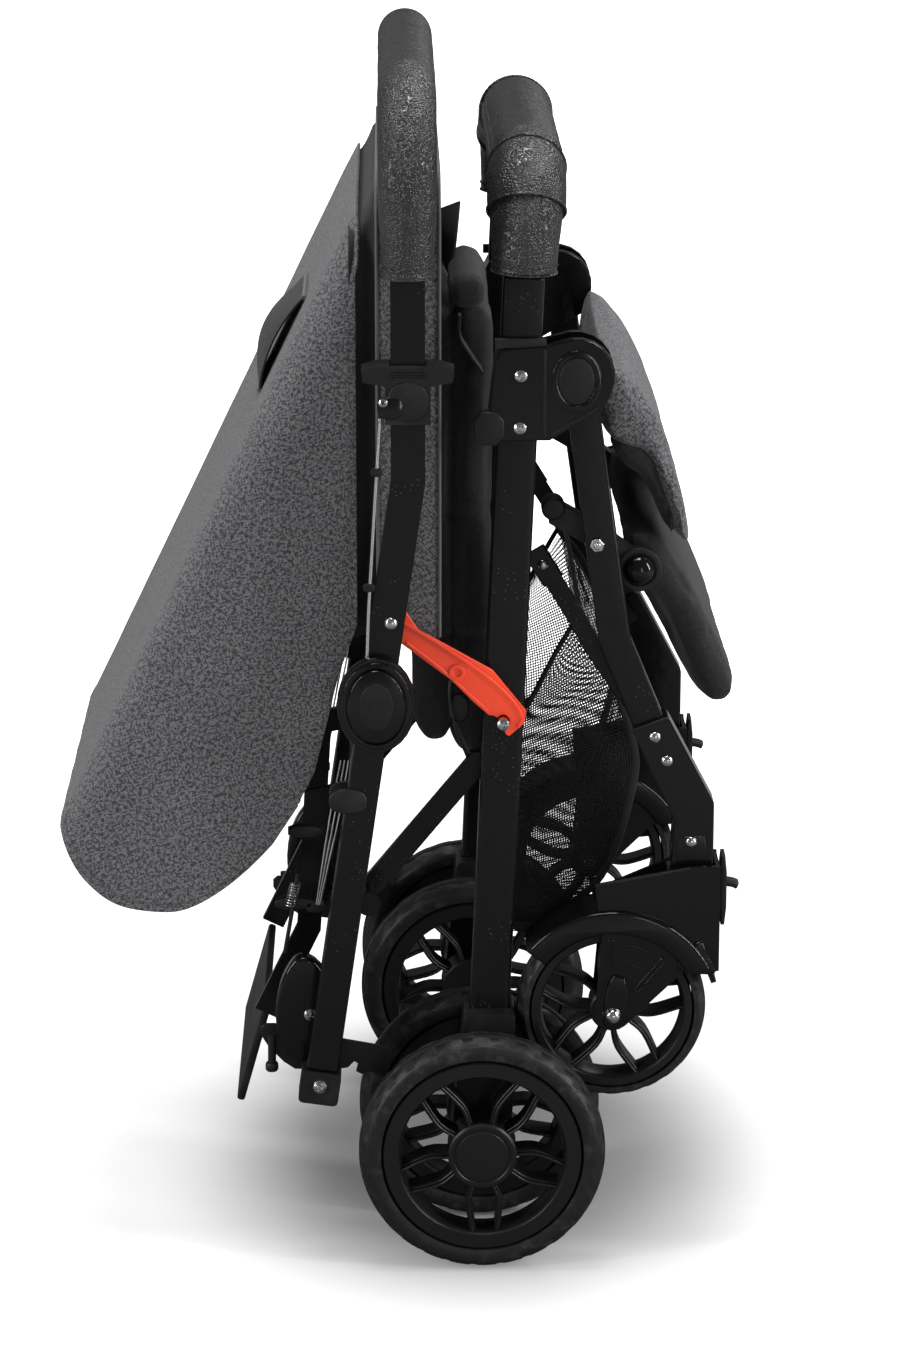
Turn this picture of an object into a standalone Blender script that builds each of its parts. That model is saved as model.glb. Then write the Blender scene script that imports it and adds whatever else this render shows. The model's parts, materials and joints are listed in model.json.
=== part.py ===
# Folded reversible stroller: twin rear wheels, front casters, push handle with release collars,
# thick front bar, hood, seat pads and mesh basket.  Units are metres, +Z is up, +X is the
# stroller's front and -Y is the near side.  X below is measured from the rear axle.
import math

import bmesh
import bpy
from mathutils import Matrix, Vector

for old in list(bpy.data.objects):
    bpy.data.objects.remove(old, do_unlink=True)

# Whole stroller
AXLE_X = 0.0578            # rear axle, forward of the middle of the folded length
FIT = 0.0003               # gap between pieces that touch
RUNNING = 0.0008           # gap between pieces that turn or slide on each other

# Rear wheels, in two pairs
REAR_WHEEL_R = 0.090
REAR_TYRE_DEPTH = 0.0177
REAR_RIM_WALL = 0.0118
REAR_RIM_R = REAR_WHEEL_R - REAR_TYRE_DEPTH
REAR_RIM_INNER_R = REAR_RIM_R - REAR_RIM_WALL
WHEEL_HUB_R = 0.025
REAR_TYRE_W = 0.030
AXLE_R = 0.005
CAP_R = 0.0195
CAP_T = 0.003
SPOKE_PAIRS = 5
REAR_SPOKE_TURN = 56.0     # degrees, the first pair from the front
FRONT_SPOKE_TURN = 84.0
SPOKE_T = 0.0045
SPOKE_GAP = 0.012

# Front wheels
FRONT_WHEEL_R = 0.0695
FRONT_TYRE_DEPTH = 0.010
FRONT_RIM_WALL = 0.007
FRONT_RIM_R = FRONT_WHEEL_R - FRONT_TYRE_DEPTH
FRONT_RIM_INNER_R = FRONT_RIM_R - FRONT_RIM_WALL
FRONT_HUB_R = 0.016
FRONT_TYRE_W = 0.028
FRONT_WHEEL_X = 0.0955
FRONT_WHEEL_Z = 0.184
FRONT_BOLT_R = 0.003

# Rear legs, front bar and the brackets that join them to the front legs
FRAME_Y = 0.174
REAR_LEG_W = 0.029
REAR_LEG_T = 0.020
REAR_LEG_LEAN = math.radians(2.39)
REAR_LEG_FOOT_X = 0.0016
REAR_LEG_FOOT_Z = 0.150
REAR_LEG_TOP_Z = 0.728
HOUSING_HALF = 0.024
HOUSING_FOOT_HALF = 0.020
HOUSING_TOP_HALF = 0.0185
HOUSING_DROP = 0.018       # below the axle
HOUSING_RISE = 0.035       # above the leg's foot
WHEEL_ROOM = 0.0095
OUTER_WHEEL_Y = FRAME_Y + HOUSING_HALF + WHEEL_ROOM + REAR_TYRE_W / 2
INNER_WHEEL_Y = FRAME_Y - HOUSING_HALF - WHEEL_ROOM - REAR_TYRE_W / 2
BAR_R = 0.0115
BAR_CORNER_R = 0.060
BAR_Z = 0.798
BAR_GRIP_R = 0.0245
HUB_X = 0.068
HUB_Z = 0.6535
BRACKET_T = 0.008
BRACKET_R = 0.027
PEDAL_L = 0.060
PEDAL_HALF = 0.030

# Front legs
FRONT_LEG_W = 0.023
FRONT_LEG_T = 0.018
KNEE_X = 0.0955
KNEE_Z = 0.461
SHOE_X = 0.121
SHOE_Z = 0.399
SHOE_T = 0.026
SHOE_L = 0.118
SHOE_FOOT_Z = 0.2905
FORK_PLATE_T = 0.004
FENDER_GAP = 0.006
FENDER_T = 0.004
CHEEK_FOOT_R = 0.013
SKIRT_TOP_Z = 0.2965
SKIRT_DROP = 0.0135
SKIRT_FRONT_X = 0.1727
SKIRT_REAR_X = 0.0819
SKIRT_TIP_Z = 0.2170
SWIVEL_X = 0.152
SWIVEL_Z = 0.262
STEM_R = 0.007
STEM_H = 0.017
SWIVEL_BLOCK_W = 0.030
SWIVEL_BLOCK_REAR_X = 0.134
SWIVEL_BLOCK_FRONT_X = 0.1665

# Seat: leg rest, apron and the two pads
SEAT_X = 0.018
SEAT_Z = 0.451
LEG_REST_X = 0.1135
LEG_REST_Z = 0.5105
LEG_REST_L = 0.185
LEG_REST_ARM_W = 0.016
HINGE_R = 0.015
HINGE_T = 0.018
APRON_L = 0.150
SEAT_PAD_X = -0.0060
SEAT_PAD_FOOT_Z = 0.352
SEAT_PAD_TOP_Z = 0.632
BACK_PAD_X = -0.03375
BACK_PAD_FOOT_Z = 0.360
BACK_PAD_BELOW_BOW = 0.131
PAD_T = 0.0243
PAD_IN = 0.036             # from the frame's middle plane in to the pad's side
LUG_IN = 0.020
LUG_Z = 0.4000

# Push handle
HANDLE_X = -0.0525
HANDLE_W = 0.024
HANDLE_T = 0.018
HANDLE_SIDE_ROOM = 0.012   # from the rear legs out to the handle tubes, with the fold lock between them
HANDLE_Y = FRAME_Y + REAR_LEG_T / 2 + HANDLE_SIDE_ROOM + HANDLE_T / 2
HANDLE_BOW_Z = 0.853
HANDLE_BOW_H = 0.123
HANDLE_TUBE_TOP_Z = HANDLE_BOW_Z - HANDLE_BOW_H
HANDLE_STRAIGHT = 0.143
HANDLE_BEND_Z = HANDLE_TUBE_TOP_Z - HANDLE_STRAIGHT
HANDLE_BOW_R = 0.0086
HANDLE_CORNER_R = 0.065
HANDLE_GRIP_R = 0.0200
OVAL_X = -0.0755
OVAL_Z = 0.427
OVAL_W = 0.056
OVAL_H = 0.070
OVAL_T = 0.008
LOWER_END_X = -0.118
LOWER_END_Z = 0.135
LOWER_W = 0.023
END_BLOCK = 0.029
COLLAR_BELOW_GRIP = 0.080
COLLAR_Z = HANDLE_TUBE_TOP_Z - COLLAR_BELOW_GRIP
COLLAR_H = 0.042
COLLAR_WALL = 0.003
COLLAR_WING = 0.0155
HOOK_L = 0.050
HOOK_T = 0.003
CROSS_BAR_X = -0.0890
CROSS_BAR_Z = 0.325
CROSS_BAR_R = 0.008
BOARD_X = -0.1600
BOARD_Z = 0.1520
BOARD_END_X = -0.1805
BOARD_END_Z = 0.0790
BOARD_HALF = 0.098
BOARD_T = 0.006
BOARD_ARM_W = 0.018

# Fold lock, links and studs
STUD_X = 0.0151
STUD_Z = 0.4053
STUD_R = 0.004
STUD_L = 0.012
LOCK_X = -0.0648
LOCK_Z = 0.4857
LOCK_T = 0.003
LOCK_L = 0.110
LINK_TOP_X = 0.002
LINK_TOP_Z = 0.372
LINK_LOW_X = -0.0819
LINK_LOW_Z = 0.2696
LINK_PIN_R = 0.0045
LINK_FLANGE_R = 0.009
LINK_W = 0.016
LINK_T = 0.006

# Hood and basket
CANOPY_X = -0.0535
CANOPY_Z = 0.545
CANOPY_HALF = FRAME_Y + REAR_LEG_T / 2 - RUNNING
CANOPY_WALL = 0.004
CANOPY_ROUND = 0.055
CANOPY_BOW_R = 0.003
CANOPY_CLIP_R = 0.009
HOOD_L = 0.500
ROOF_TOP_X = -0.0767
ROOF_BELOW_BOW = 0.055
ROOF_FOOT_X = -0.2939
ROOF_FOOT_Z = 0.3497
BASKET_L = 0.235
BASKET_IN = 0.032          # from the frame's middle plane in to the basket's side
BASKET_WALL = 0.003
STRAP_W = 0.011
STRAP_Z = 0.372

parts = bpy.data.collections.new("reversible_stroller")
bpy.context.scene.collection.children.link(parts)
cutters = bpy.data.collections.new("cutters")
bpy.context.scene.collection.children.link(cutters)


# Materials
def material(name, colour, roughness, metallic=0.0):
    found = bpy.data.materials.get(name)
    if found:
        return found
    made = bpy.data.materials.new(name)
    made.use_nodes = True
    shader = made.node_tree.nodes["Principled BSDF"]
    shader.inputs["Base Color"].default_value = (*colour, 1.0)
    shader.inputs["Roughness"].default_value = roughness
    shader.inputs["Metallic"].default_value = metallic
    return made


PAINT = ("black_paint", (0.012, 0.012, 0.013), 0.30)
PLASTIC = ("black_plastic", (0.020, 0.020, 0.021), 0.45)
GLOSS = ("gloss_plastic", (0.010, 0.010, 0.011), 0.15)
TYRE = ("tyre_foam", (0.022, 0.022, 0.023), 0.55)
CHROME = ("chrome", (0.75, 0.75, 0.76), 0.18, 1.0)
STEEL = ("dark_steel", (0.05, 0.05, 0.055), 0.40, 0.8)
LEATHER = ("leatherette", (0.018, 0.018, 0.019), 0.50)
HEATHER = ("heather_cloth", (0.075, 0.075, 0.080), 0.90)
BLACK_CLOTH = ("black_cloth", (0.015, 0.015, 0.016), 0.90)
NET = ("black_net", (0.020, 0.020, 0.020), 0.80)
ORANGE = ("orange_plastic", (1.00, 0.075, 0.013), 0.35)


# The stroller's own point of reference, and the joint axes that its pieces hang on
def empty(name, x=0.0, z=0.0, y=0.0, parent=None):
    made = bpy.data.objects.new(name, None)
    parts.objects.link(made)
    made.location = (x, y, z)
    if parent:
        hang(made, parent)
    return made


def hang(obj, parent):
    bpy.context.view_layer.update()
    obj.parent = parent
    obj.matrix_parent_inverse = parent.matrix_world.inverted()


# Shape tools.  Outlines are lists of (x, z) seen from the near side.
def arc(x, z, radius, start, end, steps):
    points = []
    for i in range(steps + 1):
        a = math.radians(start + (end - start) * i / steps)
        points.append((x + radius * math.cos(a), z + radius * math.sin(a)))
    return points


def oval(x, z, width, height, steps=24):
    points = []
    for i in range(steps):
        a = 2 * math.pi * i / steps
        points.append((x + width / 2 * math.cos(a), z + height / 2 * math.sin(a)))
    return points


def scaled(x, z, size, shares):
    """An outline round (x, z), each point given as shares of one size."""
    return [(x + a * size, z + b * size) for a, b in shares]


def strip(line, width):
    left = []
    right = []
    for i, point in enumerate(line):
        p = Vector(point)
        before = (p - Vector(line[i - 1])).normalized() if i else None
        after = (Vector(line[i + 1]) - p).normalized() if i < len(line) - 1 else before
        before = before or after
        along = (before + after).normalized()
        across = Vector((-along.y, along.x))
        reach = width / 2 / max(0.5, across.dot(Vector((-after.y, after.x))))
        left.append(tuple(p + across * reach))
        right.append(tuple(p - across * reach))
    return left + right[::-1]


def rounded(outline, radius, steps=3):
    points = []
    count = len(outline)
    for i in range(count):
        p = Vector(outline[i])
        a = Vector(outline[i - 1]) - p
        b = Vector(outline[(i + 1) % count]) - p
        turn = a.angle(b)
        back = min(radius / math.tan(turn / 2), a.length * 0.45, b.length * 0.45)
        start = p + a.normalized() * back
        end = p + b.normalized() * back
        for k in range(steps + 1):
            t = k / steps
            q = start * (1 - t) ** 2 + p * 2 * t * (1 - t) + end * t ** 2
            points.append(tuple(q))
    return points


def place(name, mesh, look, parent, collection=parts):
    obj = bpy.data.objects.new(name, mesh)
    collection.objects.link(obj)
    mesh.materials.clear()
    if look:
        mesh.materials.append(material(*look))
    if parent:
        hang(obj, parent)
    return obj


def to_mesh(obj):
    bpy.context.view_layer.update()
    graph = bpy.context.evaluated_depsgraph_get()
    mesh = bpy.data.meshes.new_from_object(obj.evaluated_get(graph))
    mesh.transform(obj.matrix_world)
    bm = bmesh.new()
    bm.from_mesh(mesh)
    bmesh.ops.remove_doubles(bm, verts=bm.verts, dist=1e-6)
    bmesh.ops.recalc_face_normals(bm, faces=bm.faces)
    bm.to_mesh(mesh)
    bm.free()
    bpy.data.objects.remove(obj, do_unlink=True)
    return mesh


def plate_mesh(outlines, y, thickness):
    flat = bpy.data.curves.new("outline", "CURVE")
    flat.dimensions = "2D"
    flat.fill_mode = "BOTH"
    flat.extrude = thickness / 2
    for outline in outlines:
        spline = flat.splines.new("POLY")
        spline.points.add(len(outline) - 1)
        for point, (x, z) in zip(spline.points, outline):
            point.co = (x, z, 0.0, 1.0)
        spline.use_cyclic_u = True
    obj = bpy.data.objects.new("outline", flat)
    bpy.context.scene.collection.objects.link(obj)
    obj.rotation_euler = (math.radians(90), 0, 0)
    obj.location = (0, y, 0)
    return to_mesh(obj)


def soften(obj, width, segments=2):
    if width > 0:
        bevel = obj.modifiers.new("edges", "BEVEL")
        bevel.width = width
        bevel.segments = segments
        bevel.limit_method = "ANGLE"
        bevel.angle_limit = math.radians(40)
    return obj


def plate(name, outline, y, thickness, look, parent, edge=0.0, holes=(), segments=2):
    mesh = plate_mesh([outline, *holes], y, thickness)
    return soften(place(name, mesh, look, parent), edge, segments)


def box(name, size, centre, look, parent, edge=0.0, turn=0.0, segments=2):
    mesh = bpy.data.meshes.new(name)
    bm = bmesh.new()
    bmesh.ops.create_cube(bm, size=1.0)
    bmesh.ops.scale(bm, vec=size, verts=bm.verts)
    bmesh.ops.rotate(bm, verts=bm.verts, matrix=Matrix.Rotation(turn, 3, "Y"))
    bmesh.ops.translate(bm, vec=centre, verts=bm.verts)
    bm.to_mesh(mesh)
    bm.free()
    return soften(place(name, mesh, look, parent), edge, segments)


def turned(name, profile, x, y, z, look, parent, steps=40, axis="Y"):
    mesh = bpy.data.meshes.new(name)
    bm = bmesh.new()
    ring = [bm.verts.new((radius, 0, height)) for radius, height in profile]
    for a, b in zip(ring, ring[1:]):
        bm.edges.new((a, b))
    if profile[0][0] > 1e-6:
        bm.edges.new((ring[-1], ring[0]))
    bm.to_mesh(mesh)
    bm.free()
    obj = bpy.data.objects.new(name, mesh)
    bpy.context.scene.collection.objects.link(obj)
    screw = obj.modifiers.new("turn", "SCREW")
    screw.steps = steps
    screw.render_steps = steps
    screw.use_merge_vertices = True
    screw.merge_threshold = 0.00005
    if axis == "Y":
        obj.rotation_euler = (math.radians(90), 0, 0)
    obj.location = (x, y, z)
    return place(name, to_mesh(obj), look, parent)


def disc(name, radius, thickness, x, y, z, look, parent, steps=20, dome=0.0, side=-1):
    top = thickness / 2
    profile = [(0, top + dome), (radius * 0.55, top + dome * 0.7), (radius, top), (radius, -top), (0, -top)]
    obj = turned(name, profile, 0, 0, 0, look, None, steps)
    flip = Matrix.Identity(4) if side < 0 else Matrix.Rotation(math.pi, 4, "Z")
    obj.data.transform(Matrix.Translation((x, y, z)) @ flip)
    if parent:
        hang(obj, parent)
    return obj


def rod(name, points, radius, look, parent, sides=2):
    line = bpy.data.curves.new(name, "CURVE")
    line.dimensions = "3D"
    line.bevel_depth = radius
    line.bevel_resolution = sides
    line.use_fill_caps = True
    spline = line.splines.new("POLY")
    spline.points.add(len(points) - 1)
    for point, co in zip(spline.points, points):
        point.co = (*co, 1.0)
    obj = bpy.data.objects.new(name, line)
    bpy.context.scene.collection.objects.link(obj)
    return place(name, to_mesh(obj), look, parent)


def combine(obj, other, how):
    other.hide_render = True
    other.display_type = "WIRE"
    if other.name not in cutters.objects:
        for home in list(other.users_collection):
            home.objects.unlink(other)
        cutters.objects.link(other)
    step = obj.modifiers.new(how.lower(), "BOOLEAN")
    step.operation = how
    step.solver = "EXACT"
    step.object = other
    return obj


def group(name, members, look, parent):
    joined = bmesh.new()
    for member in members:
        if member.parent:
            member.parent = None
        mesh = to_mesh(member)
        joined.from_mesh(mesh)
        bpy.data.meshes.remove(mesh)
    mesh = bpy.data.meshes.new(name)
    joined.to_mesh(mesh)
    joined.free()
    return place(name, mesh, look, parent)


def bow_line(x, foot_z, top_z, half, corner, lean=0.0, steps=6):
    points = [(x, -half, foot_z)]
    for i in range(steps + 1):
        a = math.radians(90 * i / steps)
        points.append((x, -half + corner * (1 - math.cos(a)), top_z - corner * (1 - math.sin(a))))
    for px, py, pz in points[::-1]:
        points.append((px, -py, pz))
    return [(px + (pz - foot_z) * math.tan(lean), py, pz) for px, py, pz in points]


# Joint axes
frame = empty("rear_frame")
front_fold = empty("front_leg_fold_axis", HUB_X, HUB_Z, parent=frame)
link_axis = empty("side_link_axis", LINK_TOP_X, LINK_TOP_Z, parent=frame)
handle_axis = empty("handle_axis", LINK_LOW_X, LINK_LOW_Z, parent=link_axis)
seat_axis = empty("seat_axis", SEAT_X, SEAT_Z, parent=frame)
leg_rest_axis = empty("leg_rest_axis", LEG_REST_X, LEG_REST_Z, parent=front_fold)
canopy_axis = empty("canopy_axis", CANOPY_X, CANOPY_Z, parent=handle_axis)
lock_axis = empty("fold_lock_axis", LOCK_X, LOCK_Z, parent=handle_axis)
SIDES = (("near", -1), ("far", 1))


# Wheels: a foam tyre on a moulded rim with pairs of thin spokes
def spoke_pair(angle, inner, outer, thickness, gap):
    bars = []
    for side in (-1, 1):
        a = Vector((inner, side * gap / 2))
        b = Vector((inner + (outer - inner) * 0.45, side * gap * 0.95))
        c = Vector((outer, side * gap * 0.75))
        turn = Matrix.Rotation(math.radians(angle), 2)
        line = [tuple(turn @ p) for p in (a, b, c)]
        bars.append(strip(line, thickness))
    return bars


def tyre(name, radius, rim_radius, width, x, y, z, parent):
    shoulder = width * 0.30
    half = width / 2
    seat = rim_radius + FIT
    profile = [(seat, half - 0.002), (radius - shoulder * 0.55, half), (radius - shoulder * 0.15,
                                                                        half * 0.72),
               (radius, half * 0.25), (radius, -half * 0.25), (radius - shoulder * 0.15, -half * 0.72),
               (radius - shoulder * 0.55, -half), (seat, -half + 0.002)]
    return turned(name, profile, x, y, z, TYRE, parent, steps=40)


def rim(name, radius, inner, hub, width, x, y, z, parent, first_angle, bore, cap_side=0):
    half = width / 2 - 0.001
    band = turned(name, [(radius, half), (radius, -half), (inner, -half + 0.002), (inner, half - 0.002)],
                  0, 0, 0, PLASTIC, None, steps=40)
    centre = turned(name + "_hub", [(hub, half), (hub, -half), (bore, -half), (bore, half)],
                    0, 0, 0, None, None, steps=20)
    combine(band, centre, "UNION")
    bars = []
    for i in range(SPOKE_PAIRS):
        for bar in spoke_pair(first_angle + 360 / SPOKE_PAIRS * i, hub - 0.002, inner + 0.002, SPOKE_T,
                              SPOKE_GAP):
            bars.append(plate(name + "_bar", bar, 0, width * 0.45, None, None))
    spokes = group(name + "_spokes", bars, None, None)
    combine(band, spokes, "UNION")
    cap = None
    if cap_side:
        cap = disc(name + "_cap", CAP_R, CAP_T, 0, cap_side * (half - CAP_T / 2 + 0.0005), 0, None, None, 28,
                   0.001,
                   cap_side)
        combine(band, cap, "UNION")
    mesh = to_mesh(band)
    mesh.transform(Matrix.Translation((x, y, z)))
    for helper in filter(None, (centre, spokes, cap)):
        bpy.data.objects.remove(helper, do_unlink=True)
    return place(name, mesh, PLASTIC, parent)


for side_name, side in SIDES:
    for row, wheel_y in (("outer", OUTER_WHEEL_Y), ("inner", INNER_WHEEL_Y)):
        pivot = empty(f"rear_wheel_axis_{row}_{side_name}", 0.0, REAR_WHEEL_R, side * wheel_y, parent=frame)
        tyre(f"rear_tyre_{row}_{side_name}", REAR_WHEEL_R, REAR_RIM_R, REAR_TYRE_W,
             0.0, side * wheel_y, REAR_WHEEL_R, pivot)
        rim(f"rear_rim_{row}_{side_name}", REAR_RIM_R, REAR_RIM_INNER_R, WHEEL_HUB_R, REAR_TYRE_W,
            0.0, side * wheel_y, REAR_WHEEL_R, pivot, REAR_SPOKE_TURN, AXLE_R + RUNNING,
            side if row == "outer" else 0)

# Rear axle: one steel rod through both wheel pairs, hidden behind the outer rims' caps
AXLE_END_Y = OUTER_WHEEL_Y + REAR_TYRE_W / 2 - CAP_T * 2
turned("rear_axle", [(0, AXLE_END_Y), (AXLE_R, AXLE_END_Y), (AXLE_R, -AXLE_END_Y), (0, -AXLE_END_Y)],
       0, 0, REAR_WHEEL_R, STEEL, frame, steps=16)

# Rear legs: flat sided tubes that lean slightly forward, each on a housing between its two wheels
LEAN = math.tan(REAR_LEG_LEAN)


def leg_x(z):
    return REAR_LEG_FOOT_X + (z - REAR_WHEEL_R + HOUSING_FOOT_HALF) * LEAN


HOUSING_TOP_Z = REAR_LEG_FOOT_Z + HOUSING_RISE
for side_name, side in SIDES:
    leg = strip([(leg_x(REAR_LEG_FOOT_Z), REAR_LEG_FOOT_Z), (leg_x(REAR_LEG_TOP_Z), REAR_LEG_TOP_Z)],
                REAR_LEG_W)
    plate(f"rear_leg_{side_name}", leg, side * FRAME_Y, REAR_LEG_T, PAINT, frame, edge=0.004, segments=3)
for side_name, side in SIDES:
    foot_z = REAR_WHEEL_R - HOUSING_DROP
    waist = HOUSING_FOOT_HALF * 1.1
    body = [(-HOUSING_FOOT_HALF, foot_z), (HOUSING_FOOT_HALF, foot_z), (waist, REAR_WHEEL_R),
            (leg_x(HOUSING_TOP_Z) + HOUSING_TOP_HALF, HOUSING_TOP_Z),
            (leg_x(HOUSING_TOP_Z) - HOUSING_TOP_HALF, HOUSING_TOP_Z), (-waist, REAR_WHEEL_R)]
    housing = plate(f"axle_housing_{side_name}", rounded(body, 0.006), side * FRAME_Y, 2 * HOUSING_HALF,
                    PLASTIC,
                    frame, edge=0.003)
    socket = strip([(leg_x(REAR_LEG_FOOT_Z - FIT), REAR_LEG_FOOT_Z - FIT),
                    (leg_x(REAR_LEG_TOP_Z), REAR_LEG_TOP_Z)], REAR_LEG_W + 2 * FIT)
    combine(housing, plate(f"leg_socket_{side_name}", socket, side * FRAME_Y, REAR_LEG_T + 2 * FIT, None,
                           None),
            "DIFFERENCE")
    bore_r = AXLE_R + FIT
    reach = HOUSING_HALF * 2
    bore = turned(f"axle_bore_{side_name}", [(0, reach), (bore_r, reach), (bore_r, -reach), (0, -reach)],
                  0, side * FRAME_Y, REAR_WHEEL_R, None, None, steps=16)
    combine(housing, bore, "DIFFERENCE")

# Front bar: a round tube plugged into the rear legs, with a thick padded sleeve round it
bar_x = leg_x(REAR_LEG_TOP_Z)
bar_foot = REAR_LEG_TOP_Z + FIT
bar_line = bow_line(bar_x, bar_foot, BAR_Z, FRAME_Y, BAR_CORNER_R, REAR_LEG_LEAN)
rod("front_bar", bar_line, BAR_R, PAINT, frame)
grip_foot = REAR_LEG_TOP_Z + 2 * FIT
grip_line = bow_line(bar_x, grip_foot, BAR_Z, FRAME_Y, BAR_CORNER_R, REAR_LEG_LEAN)
grip = rod("front_bar_grip", grip_line, BAR_GRIP_R, LEATHER, frame, sides=4)
bore_foot = grip_foot - BAR_GRIP_R
grip_bore = rod("front_bar_bore", bow_line(leg_x(bore_foot), bore_foot, BAR_Z, FRAME_Y, BAR_CORNER_R,
                                           REAR_LEG_LEAN),
                BAR_R + 3 * FIT, None, None)
combine(grip, grip_bore, "DIFFERENCE")


# Brackets: each clamps a rear leg and holds the hub that a front leg turns on
for side_name, side in SIDES:
    foot = scaled(HUB_X, HUB_Z, BRACKET_R, [(-2.4222, -1.5556), (-0.7778, -1.5556),
                                               (0.6296, -0.7037)])
    nose = arc(HUB_X - BRACKET_R * 0.074, HUB_Z + BRACKET_R * 0.13, BRACKET_R, -25, 100, 7)
    shoulder = scaled(HUB_X, HUB_Z, BRACKET_R, [(-0.8889, 0.9444), (-2.0370, 0.8519),
                                                   (-2.2037, 0.5370)])
    shell = [*foot, *nose, *shoulder]
    bracket = plate(f"leg_bracket_{side_name}", shell, side * FRAME_Y, REAR_LEG_T + 2 * BRACKET_T, PLASTIC,
                    frame,
                    edge=0.002)
    below = HUB_Z - BRACKET_R * 3.5
    above = HUB_Z + BRACKET_R * 2.5
    slot = strip([(leg_x(below), below), (leg_x(above), above)], REAR_LEG_W + 2 * FIT)
    combine(bracket, plate(f"bracket_slot_{side_name}", slot, side * FRAME_Y, REAR_LEG_T + 2 * FIT, None,
                           None),
            "DIFFERENCE")
    inner_x = leg_x(HUB_Z) + REAR_LEG_W / 2 + BRACKET_T / 2
    outer_x = HUB_X + BRACKET_R * 2.3
    sweep = [(inner_x, below), (outer_x, below), (outer_x, above), (inner_x, above)]
    combine(bracket, plate(f"leg_slot_{side_name}", sweep, side * FRAME_Y, FRONT_LEG_T + 2 * RUNNING, None,
                           None),
            "DIFFERENCE")
    stud_y = side * (FRAME_Y + REAR_LEG_T / 2)
    turned(f"fold_stud_{side_name}", [(0, STUD_L), (STUD_R, STUD_L), (STUD_R, 0), (0, 0)] if side < 0 else
           [(0, 0), (STUD_R, 0), (STUD_R, -STUD_L), (0, -STUD_L)],
           STUD_X, stud_y + side * FIT, STUD_Z, CHROME, frame, steps=16)

# Foot brake: a pedal that rocks on the rear axle between the two housings
brake_axis = empty("brake_axis", 0.0, REAR_WHEEL_R, parent=frame)
lever = scaled(0.0, REAR_WHEEL_R, PEDAL_L, [(-0.1667, -0.1667), (0.1667, -0.1667), (0.1667, 0.1667),
                                            (-0.2, 0.2), (-1.0, 0.3333), (-1.0, 0.2)])
pedal = plate("brake_pedal", rounded(lever, 0.004), 0.0, 2 * PEDAL_HALF, PLASTIC, brake_axis, edge=0.001)
bore_r = AXLE_R + RUNNING
combine(pedal, turned("pedal_bore", [(0, PEDAL_L), (bore_r, PEDAL_L), (bore_r, -PEDAL_L), (0, -PEDAL_L)],
                      0, 0, REAR_WHEEL_R, None, None, steps=16), "DIFFERENCE")

# Front legs: bent flat tubes that hang from the bracket hubs, each pushed into a moulded shoe
for side_name, side in SIDES:
    y = side * FRAME_Y
    leg_end = Vector((SHOE_X, SHOE_Z)) + Vector((SHOE_X - KNEE_X,
                                                 SHOE_Z - KNEE_Z)).normalized() * SHOE_T * 0.58
    line = [(HUB_X, HUB_Z), (KNEE_X, KNEE_Z), tuple(leg_end)]
    leg = plate(f"front_leg_{side_name}", strip(line, FRONT_LEG_W), y, FRONT_LEG_T, PAINT, front_fold,
                edge=0.003)
    shoe = scaled(SHOE_X, SHOE_FOOT_Z, SHOE_L, [(-0.1186, 0.9153), (0.1017, 1.0000), (0.3983, 0.4364),
                                                (0.3983, 0.0000), (0.1356, 0.0000), (0.1525, 0.3347)])
    shoe_obj = plate(f"front_shoe_{side_name}", rounded(shoe, 0.003, 1), y, SHOE_T, GLOSS, front_fold,
                     edge=0.002)
    socket = strip([(KNEE_X, KNEE_Z), (leg_end.x, leg_end.y - FIT)], FRONT_LEG_W + 2 * FIT)
    combine(shoe_obj, plate(f"shoe_socket_{side_name}", socket, y, FRONT_LEG_T + 2 * FIT, None, None),
            "DIFFERENCE")
    top = SHOE_FOOT_Z - FIT
    housing = [(SWIVEL_BLOCK_REAR_X, top), (SWIVEL_BLOCK_FRONT_X, top), (SWIVEL_BLOCK_FRONT_X, SWIVEL_Z),
               (SWIVEL_BLOCK_REAR_X, SWIVEL_Z)]
    swivel = plate(f"caster_housing_{side_name}", housing, y, SWIVEL_BLOCK_W, PLASTIC, front_fold, edge=0.002)
    bore_r = STEM_R + RUNNING
    reach = STEM_H + FORK_PLATE_T
    bore = turned(f"stem_bore_{side_name}", [(0, reach), (bore_r, reach), (bore_r, -reach), (0, -reach)],
                  SWIVEL_X, y, SWIVEL_Z, None, None, steps=16, axis="Z")
    combine(swivel, bore, "DIFFERENCE")

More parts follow.
